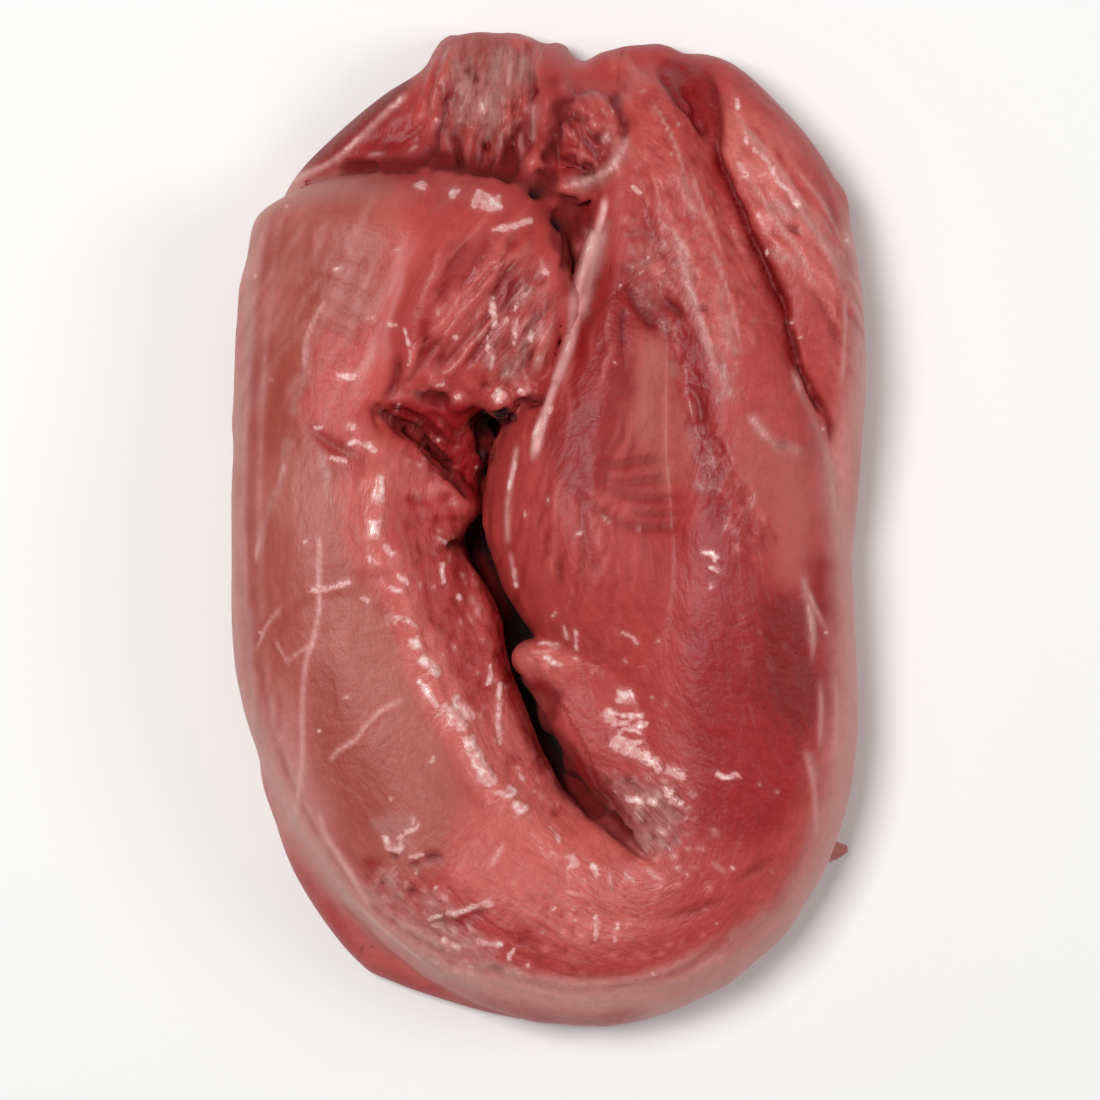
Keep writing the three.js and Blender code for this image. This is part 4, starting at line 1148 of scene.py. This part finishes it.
# Flecks of torn fat, painted wet highlights, and fibres, strewn by a seeded hand
strewn = [  # outline, then count, direction, length, half width and brush
    ([(-42, 14), (-28, 18), (-22, -2), (-14, -28), (-4, -54), (6, -76), (-10, -72), (-26, -48), (-38, -20)], [
        (60, (0.4, -1), (0.8, 3.0), (0.4, 0.7), {"colour": "fat", "mix": 0.4, "gloss": 0.9, "high": 0.2}),
        (70, (0.4, -1), (2.0, 6.0), (0.7, 1.4), {"colour": "deep", "mix": 0.5, "high": -0.3}),
    ]),
    ([(-16, -98), (20, -88), (44, -92), (38, -112), (4, -120), (-20, -116)], [
        (70, (0.7, -0.3), (0.8, 3.0), (0.5, 1.0), {"colour": "pink", "mix": 0.7, "gloss": 0.8, "high": 0.2}),
    ]),
    ([(-12, -100), (14, -100), (12, -118), (-10, -118)], [
        (40, (0.5, -0.6), (1.0, 4.0), (0.5, 0.9), {"colour": "deep", "mix": 0.4, "high": -0.2}),
    ]),
    ([(14, -66), (36, -68), (44, -84), (28, -92), (16, -84)], [
        (40, (0.8, -0.5), (0.8, 3.0), (0.5, 1.0), {"colour": "fat", "mix": 0.5, "gloss": 0.8, "high": 0.2}),
    ]),
    ([(5, 60), (20, 64), (24, 20), (14, -10), (-8, -10), (-10, 14)], [
        (46, (-0.25, -1), (10, 26), (0.5, 0.9), {"colour": "deep", "mix": 0.4, "high": -0.2}),
    ]),
    ([(5, 60), (20, 64), (24, 20), (20, -24), (-4, -20), (-10, 14)], [
        (30, (-0.2, -1), (8, 20), (0.5, 0.8), {"colour": "rose", "mix": 0.4, "high": 0.15}),
    ]),
    ([(22, 84), (34, 84), (38, 62), (30, 54), (22, 62)], [
        (46, (0.3, -1), (0.8, 2.6), (0.5, 1.0), {"colour": "ash", "mix": 0.55, "gloss": 0.6, "high": 0.15}),
    ]),
    ([(22, 80), (34, 80), (38, 60), (30, 54), (22, 62)], [
        (26, (0.3, -1), (0.8, 2.6), (0.6, 1.1), {"colour": "dark", "mix": 0.45, "high": -0.25}),
    ]),
    ([(36, 90), (50, 88), (56, 64), (52, 36), (44, 36), (38, 60)], [
        (70, (0.3, -1), (0.6, 2.4), (0.5, 1.0), {"colour": "ash", "mix": 0.4, "gloss": 0.5, "high": 0.12}),
    ]),
    ([(-50, -92), (-38, -92), (-18, -110), (-10, -120), (-30, -118), (-46, -104)], [
        (60, (0.7, -0.4), (0.8, 3.5), (0.5, 1.0), {"colour": "fat", "mix": 0.5, "gloss": 0.7, "high": 0.2}),
        (36, (0.7, -0.4), (0.8, 3.0), (0.5, 1.0), {"colour": "red", "mix": 0.6, "high": -0.2}),
    ]),
    ([(-30, 128), (-4, 132), (-4, 112), (-12, 104), (-28, 106)], [
        (34, (-0.1, -1), (5, 13), (0.5, 0.9), {"colour": "deep", "mix": 0.5, "high": -0.4}),
        (30, (-0.1, -1), (4, 11), (0.5, 0.9), {"colour": "ash", "mix": 0.5, "high": 0.35, "gloss": 0.5}),
    ]),
    ([(46, 116), (62, 104), (78, 82), (72, 66), (58, 82), (48, 100)], [
        (44, (0.6, -0.8), (3, 12), (0.6, 1.2), {"colour": "pink", "mix": 0.4, "gloss": 0.6, "high": 0.15}),
    ]),
    ([(20, 126), (38, 108), (46, 88), (36, 80), (22, 96)], [
        (44, (0.35, -0.9), (2, 9), (0.6, 1.1), {"colour": "pink", "mix": 0.35, "gloss": 0.5, "high": 0.15}),
    ]),
    ([(-16, 68), (-6, 62), (-8, 52), (-18, 48)], [
        (9, (-0.3, -1), (3, 6), (0.5, 0.8),
         {"colour": "fat", "mix": 0.6, "high": 0.3, "gloss": 0.9, "glintAndFleck": 0.8}),
    ]),
    ([(31, 62), (38, 58), (46, 28), (60, 0), (50, -6), (38, 26)], [
        (90, (0.3, -1), (1.5, 5), (0.6, 1.1), {"colour": "deep", "mix": 0.5, "high": -0.25}),
        (60, (0.3, -1), (0.8, 3), (0.5, 0.9), {"colour": "rose", "mix": 0.5, "high": 0.15, "gloss": 0.5}),
    ]),
    ([(20, 126), (44, 104), (58, 66), (50, 44), (36, 60), (18, 90)], [
        (90, (0.4, -1), (2, 9), (0.6, 1.1), {"colour": "deep", "mix": 0.4, "high": -0.25}),
        (90, (0.4, -1), (1, 6), (0.5, 1.0), {"colour": "pink", "mix": 0.5, "high": 0.2, "gloss": 0.5}),
    ]),
    ([(46, 116), (62, 104), (84, 70), (76, 50), (66, 60), (54, 90)], [
        (70, (0.55, -0.84), (4, 16), (0.6, 1.1), {"colour": "red", "mix": 0.6, "high": -0.3}),
    ]),
    ([(-80, 84), (-44, 94), (-40, 60), (-60, 40), (-80, 50)], [
        (60, (-0.45, -0.9), (8, 26), (0.7, 1.4), {"colour": "umber", "mix": 0.3, "high": -0.08}),
        (50, (-0.45, -0.9), (8, 24), (0.7, 1.3), {"colour": "rim", "mix": 0.22, "high": 0.05}),
    ]),
    ([(-84, 40), (-50, 20), (-48, -20), (-70, -60), (-84, -30)], [
        (60, (0.05, -1), (8, 26), (0.7, 1.4), {"colour": "umber", "mix": 0.25, "high": -0.08}),
    ]),
    ([(14, -66), (24, -68), (36, -72), (34, -84), (24, -88), (16, -78)], [
        (50, (0.8, -0.5), (1.2, 4), (0.6, 1.0), {"colour": "dark", "mix": 0.4, "high": -0.3}),
    ]),
]

# Strands that lie side by side: outline, gap between them, direction, length, brushes and how wide
combed = [
    ([(-42, 60), (-34, 82), (-14, 84), (-12, 77), (-24, 63), (-37, 50)], 2.6,
     (-0.62, -0.79), (18, 36), ("fineDark", "finePale", "fineDark"), 1.1),
    ([(-14, 75), (-8, 71), (-10, 62), (-22, 46), (-30, 38), (-41, 38), (-36, 50), (-24, 62)], 1.9,
     (-0.62, -0.79), (14, 28), ("fineDark", "cord", "furrow", "finePale", "cord"), 0.95),
    ([(-14, 70), (-3, 70), (1, 60), (0, 46), (-6, 38), (-16, 40), (-21, 46), (-18, 56)], 1.9,
     (-0.42, -0.9), (9, 20), ("greyCord", "furrow", "brownCord", "greyCord", "cord"), 0.95),
    ([(-29, 129), (-6, 132), (-3, 116), (-6, 102), (-16, 99), (-30, 102)], 2.2,
     (-0.1, -1), (8, 18), ("greyCord", "furrow", "brownCord", "cord", "brownCord"), 1.0),
    ([(-62, 99), (-44, 112), (-32, 118), (-30, 104), (-46, 100)], 2.2,
     (0.72, 0.69), (8, 18), ("cord", "fineDark", "fineDark"), 1.0),
    ([(2, 118), (10, 119), (18, 112), (19, 102), (10, 98), (2, 100)], 2.2,
     (0.66, -0.75), (6, 14), ("cord", "furrow", "cord", "fineDark"), 1.0),
    ([(-48, 32), (-36, 30), (-22, 14), (-22, 8), (-28, 13), (-38, 23)], 2.4,
     (0.8, -0.6), (6, 16), ("furrow", "brownCord", "furrow"), 1.0),
    ([(47, 114), (58, 110), (74, 92), (84, 70), (84, 52), (72, 52), (62, 74), (52, 96)], 2.3,
     (0.58, -0.81), (10, 26), ("finePale", "fineDark", "finePale"), 1.0),
    ([(18, 126), (30, 122), (42, 104), (50, 84), (58, 60), (44, 60), (26, 90)], 2.2,
     (0.42, -0.91), (5, 15), ("finePale", "fineDark", "fineDark"), 1.0),
    ([(32, 60), (37, 58), (46, 28), (60, 0), (50, -4), (38, 26)], 1.8,
     (0.32, -0.95), (3, 9), ("fineDark", "finePale", "fineDark"), 1.0),
]

# Painted shade: places in hollows are painted darker, down to near black, where little light gets in
hollowShade = {
    "softer": [  # how dark a place may grow
        (0.4, [(-66, 94), (-40, 110), (-22, 114), (-10, 114), (-6, 92), (-30, 90)]),
        (0.4, [(-52, 34), (-36, 42), (-16, 38), (0, 42), (-4, 30), (-12, 22), (-14, 4), (-20, -2),
               (-30, 8)]),
        (0.4, [(-12, 106), (2, 118), (24, 106), (16, 84), (6, 84), (-6, 88)]),
        (0.36, [(-1, 90), (14, 92), (12, 66), (2, 40), (-2, 50), (2, 70)]),
    ],
    "ragged": (2.4, 3.5),  # size and depth of its uneven edge
    "raggedAt": (3, 8),  # depths between which that comes in
    "cell": 1.0,
    "margin": 20,  # cells round the meat
    "blur": 6,  # cells
    "depths": (3.0, 14.0),  # below the surface around, from untouched to darkest
    "above": 10.0,  # lower down, only what faces up
    "facing": 0.2,
    "filled": 0.85,  # not beside the outline
    "fade": (-1, 3),  # at the edge of the softer outlines
    "colours": [  # and between which darknesses each comes in
        ("deep", 0.0, 0.25),
        ("blood", 0.15, 0.5),
        ("crevice", 0.5, 0.95),
    ],
    "gloss": -0.9,
    "matt": (0.0, 0.4),
    "dry": (0.1, 0.4),
    "spared": [(-78, -60), (-66, -70), (-56, -88), (-44, -102), (-30, -116), (-10, -124), (-10, -140),
               (-90, -140)],
}


def blurred(grid, cells):
    kernel = np.exp(-(np.arange(-2 * cells, 2 * cells + 1) / cells) ** 2)
    kernel /= kernel.sum()
    for axis in (0, 1):
        grid = np.apply_along_axis(lambda row: np.convolve(row, kernel, mode="same"), axis, grid)
    return grid


def paintHollowShade(clay):
    low = clay.place[:, :2].min(0) - hollowShade["margin"]
    cells = ((clay.place[:, :2] - low) / hollowShade["cell"]).astype(int)
    shape = cells.max(0) + hollowShade["margin"] + 1
    top = np.zeros(shape)
    np.maximum.at(top, (cells[:, 0], cells[:, 1]), clay.place[:, 2])
    filled = blurred((top > 0).astype(float), hollowShade["blur"])
    mean = blurred(top, hollowShade["blur"]) / np.maximum(filled, 0.15)
    depth = mean[cells[:, 0], cells[:, 1]] - clay.place[:, 2]
    inside = (clay.place[:, 2] > hollowShade["above"]) | (clay.facing > hollowShade["facing"])
    inside &= filled[cells[:, 0], cells[:, 1]] > hollowShade["filled"]
    inside &= ~within(clay.seen, smoothLine(hollowShade["spared"], closed=True)[:-1])
    ragged = noiseOver(clay.place, hollowShade["ragged"][0], 5.5) * hollowShade["ragged"][1]
    dark = ramp(*hollowShade["depths"], depth + ragged * ramp(*hollowShade["raggedAt"], depth)) * inside
    for most, outline in hollowShade["softer"]:
        loop = smoothLine(outline, closed=True)
        distance = nearLine(clay.wobbly, loop)[0] * np.where(within(clay.wobbly, loop[:-1]), 1, -1)
        dark = np.minimum(dark, 1 - (1 - most) * ramp(*hollowShade["fade"], distance))
    for colour, low, high in hollowShade["colours"]:
        clay.colourIn(slice(None), colour, ramp(low, high, dark))
    clay.gloss += (hollowShade["gloss"] - clay.gloss) * ramp(*hollowShade["matt"], dark)
    clay.glintAndFleck *= 1 - ramp(*hollowShade["dry"], dark)


def makeMeat():
    piece = makeBlank()
    addFlesh(piece)
    soften(piece)
    clay = Clay(piece.data)
    regained = softening["regained"] * ramp(*softening["regainedAt"], clay.place[:, 2])
    clay.place[:, :2] += clay.normal[:, :2] * regained[:, None]
    clay.refresh()
    deepenCleft(clay)
    clay.shake()
    paintBroadly(clay)
    layGrain(clay)
    ripple(clay)
    print("coat laid")
    seeds = iter(range(50))
    for outline, sprinklings in strewn:
        for count, toward, length, wide, brush in sprinklings:
            strew(clay, outline, count, toward, length, next(seeds), wide, **brush)
    for seed, (outline, gap, toward, length, names, widen) in enumerate(combed):
        comb(clay, outline, gap, toward, length, seed + 50, names, widen)
    clay.refresh()
    print("strands combed")
    paintHollowShade(clay)
    for job in (thinLimb, thickLimb, fold, tail, flap, fatEdge):
        work(clay, job)
        clay.refresh()
    finishClay(clay)
    makeActive(piece)
    bpy.ops.object.shade_smooth()
    return piece


# A shader socket that Python's own operators work on
class Wire:
    def __init__(self, nodes, socket):
        self.nodes, self.socket = nodes, socket

    def maths(self, operation, *others):
        return self.nodes.add("ShaderNodeMath", {"operation": operation}, self, *others)

    def __add__(self, other):
        return self.maths("ADD", other)

    def __mul__(self, other):
        return self.maths("MULTIPLY", other)

    def __sub__(self, other):
        return self.maths("SUBTRACT", other)

    def __rsub__(self, other):
        return self.nodes.add("ShaderNodeMath", {"operation": "SUBTRACT"}, other, self)

    __radd__, __rmul__ = __add__, __mul__


class Nodes:
    def __init__(self, name):
        self.material = bpy.data.materials.new(name)
        self.material.use_nodes = True
        self.tree = self.material.node_tree
        self.shader = self.tree.nodes["Principled BSDF"]

    def add(self, kind, settings=None, *values, output=0, **named):
        node = self.tree.nodes.new(kind)
        for name, value in (settings or {}).items():
            setattr(node, name, value)
        for key, value in [*enumerate(values), *named.items()]:
            self.plug(node.inputs[key], value)
        return Wire(self, node.outputs[output])

    def plug(self, socket, value):
        if isinstance(value, Wire):
            self.tree.links.new(value.socket, socket)
        else:
            socket.default_value = value

    def attribute(self, name, output="Fac"):
        return self.add("ShaderNodeAttribute", {"attribute_name": name}, output=output)

    def clamp(self, value, low, high):
        smooth = {"interpolation_type": "SMOOTHSTEP"}
        return self.add("ShaderNodeMapRange", smooth, value, low, high, 0.0, 1.0)

    def noise(self, vector, scale, detail):
        return self.add("ShaderNodeTexNoise", {}, Vector=vector, Scale=scale, Detail=detail)

    def stretch(self, vector, sizes):
        shares = tuple(1 / size for size in sizes)
        return self.add("ShaderNodeVectorMath", {"operation": "MULTIPLY"}, vector, shares)

    def blend(self, mode, factor, first, second):
        node = self.tree.nodes.new("ShaderNodeMix")
        node.data_type, node.blend_type = "RGBA", mode
        for key, value in ((0, factor), (6, first), (7, second)):
            self.plug(node.inputs[key], value)
        return Wire(self, node.outputs[2])


# Raw beef: the painted colour, broken up along the fibres, under a wet skin, and pale where painted
# highlights and fat specks lie
beef = {
    "fibre": (0.9, 7.0, 2.5),  # size across, along and down, in mm
    "strand": (2.4, 11.0, 6.0),
    "mottle": (2.2, 3.4, 3.0),
    "shred": (1.9, 8.0, 4.0),
    "grit": 800.0,
    "ragged": 520.0,
    "patch": 90.0,
    "heldByFilm": 0.65,  # how much of the fibres the silverskin hides
    "tone": {"fibre": 0.2, "strand": 0.16, "mottle": 0.4, "patch": 0.16, "grit": 0.2, "tornGrit": 0.45},
    "hue": {"mottle": 0.2, "patch": 0.16},
    "roughness": {"grit": 0.14, "mottle": 0.1},
    "relief": {"fibre": 0.28, "mottle": 0.9, "strand": 0.25, "grit": 0.2, "shred": 1.3},
    "shredded": [(-1.0, 0.02, 0.6, "dark"), (1.0, 0.04, 0.5, "ash")],  # side, start, strength and colour
    "glintAndFleckColours": [(0.3, 0.62, 0.75, "fat"), (0.72, 1.15, 0.9, "glintAndFatWhite")],  # start, end, strength and colour
    "glintAndFleckEdge": 2.6,
    "bump": 0.5,
    "bumpHeight": 0.0008,
    "specular": 0.35,
    "roughDry": 0.56,
    "roughWet": 0.16,
}


def beefMaterial():
    n = Nodes("rawBeef")
    flow = n.attribute("flow", "Vector")
    film = n.attribute("film")
    spot = n.add("ShaderNodeTexCoord", output="Object")
    fibre = n.noise(n.stretch(flow, beef["fibre"]), 1.0, 3.0) - 0.5
    strand = n.noise(n.stretch(flow, beef["strand"]), 1.0, 2.0) - 0.5
    calm = n.attribute("calm")
    mottle = (n.noise(n.stretch(flow, beef["mottle"]), 1.0, 3.0) - 0.5) * calm
    grit = n.noise(spot, beef["grit"], 2.0) - 0.5
    patch = n.noise(spot, beef["patch"], 3.0) - 0.5
    bare = (1 - film * beef["heldByFilm"]) * calm
    torn = n.attribute("torn") * calm

    part = beef["tone"]
    fine = (fibre * part["fibre"] + strand * part["strand"] + mottle * part["mottle"]) * bare
    tone = 1.0 + fine + patch * part["patch"] + grit * (torn * part["tornGrit"] + part["grit"])
    hue = tone + mottle * bare * beef["hue"]["mottle"] + patch * beef["hue"]["patch"]
    shade = n.add("ShaderNodeCombineColor", {}, tone, hue, hue)
    colour = n.blend("MULTIPLY", 1.0, n.attribute("paint", "Color"), shade)
    shred = n.noise(n.stretch(flow, beef["shred"]), 1.0, 2.0) - 0.5
    for side, low, strength, name in beef["shredded"]:
        mask = n.clamp(shred * side, low, 0.2) * torn * strength
        colour = n.blend("MIX", mask, colour, (*palette[name], 1))
    # Painted highlights and fat specks: the glint and fleck layer turns the colour pale and white, with a
    # ragged edge
    ragged = n.noise(spot, beef["ragged"], 2.0) - 0.5
    glintAndFleck = n.attribute("glintAndFleck") * (1.0 + ragged * beef["glintAndFleckEdge"])
    for low, high, strength, name in beef["glintAndFleckColours"]:
        colour = n.blend("MIX", n.clamp(glintAndFleck, low, high) * strength, colour, (*palette[name], 1))

    dry, part = beef["roughDry"], beef["roughness"]
    wet = n.attribute("gloss") * (dry - beef["roughWet"])
    rough = dry - wet + grit * part["grit"] + mottle * part["mottle"]
    part = beef["relief"]
    relief = fibre * bare * part["fibre"] + mottle * part["mottle"] + strand * bare * part["strand"]
    relief = relief + grit * bare * part["grit"] + shred * torn * part["shred"]
    bump = n.add("ShaderNodeBump", {}, Strength=beef["bump"], Distance=beef["bumpHeight"], Height=relief)
    n.plug(n.shader.inputs["Base Color"], colour)
    n.plug(n.shader.inputs["Roughness"], rough)
    n.plug(n.shader.inputs["Normal"], bump)
    n.plug(n.shader.inputs["Specular IOR Level"], beef["specular"])
    return n.material


studio = {
    "floorColour": (0.93, 0.93, 0.92, 1),
    "ambient": 0.24,
    "lights": [  # place, width, depth, watts
        ((-0.42, 0.2, 1.5), 0.5, 0.5, 17),
        ((1.1, 0.1, 1.0), 0.6, 0.6, 5),
    ],
}


def makeStudio():
    bpy.ops.mesh.primitive_plane_add(size=6)
    floor = bpy.context.object
    floor.name = "floor"
    made = Nodes("floorPaper")
    made.plug(made.shader.inputs["Base Color"], studio["floorColour"])
    made.plug(made.shader.inputs["Roughness"], 0.8)
    floor.data.materials.append(made.material)
    world = bpy.data.worlds.new("studio")
    world.use_nodes = True
    world.node_tree.nodes["Background"].inputs["Color"].default_value = (1, 1, 1, 1)
    world.node_tree.nodes["Background"].inputs["Strength"].default_value = studio["ambient"]
    bpy.context.scene.world = world
    for place, width, depth, watts in studio["lights"]:
        bpy.ops.object.light_add(type="AREA", location=place)
        light = bpy.context.object
        light.data.shape, light.data.size, light.data.size_y = "RECTANGLE", width, depth
        light.data.energy = watts
        light.rotation_euler = (-Vector(place)).to_track_quat("-Z", "Y").to_euler()
    bpy.context.scene.view_settings.view_transform = "Standard"


def makeCamera():
    x, y = view["centre"]
    bpy.ops.object.camera_add(location=(x * mm, y * mm, cameraHeight * mm), rotation=(0, 0, 0))
    camera = bpy.context.object
    camera.data.lens, camera.data.sensor_width = view["lens"], view["sensor"]
    bpy.context.scene.camera = camera


makeCamera()
makeStudio()
print("studio ready")
meat = makeMeat()
meat.data.materials.clear()
meat.data.materials.append(beefMaterial())
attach(meat, "root")
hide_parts("fillet")
print("meat ready")
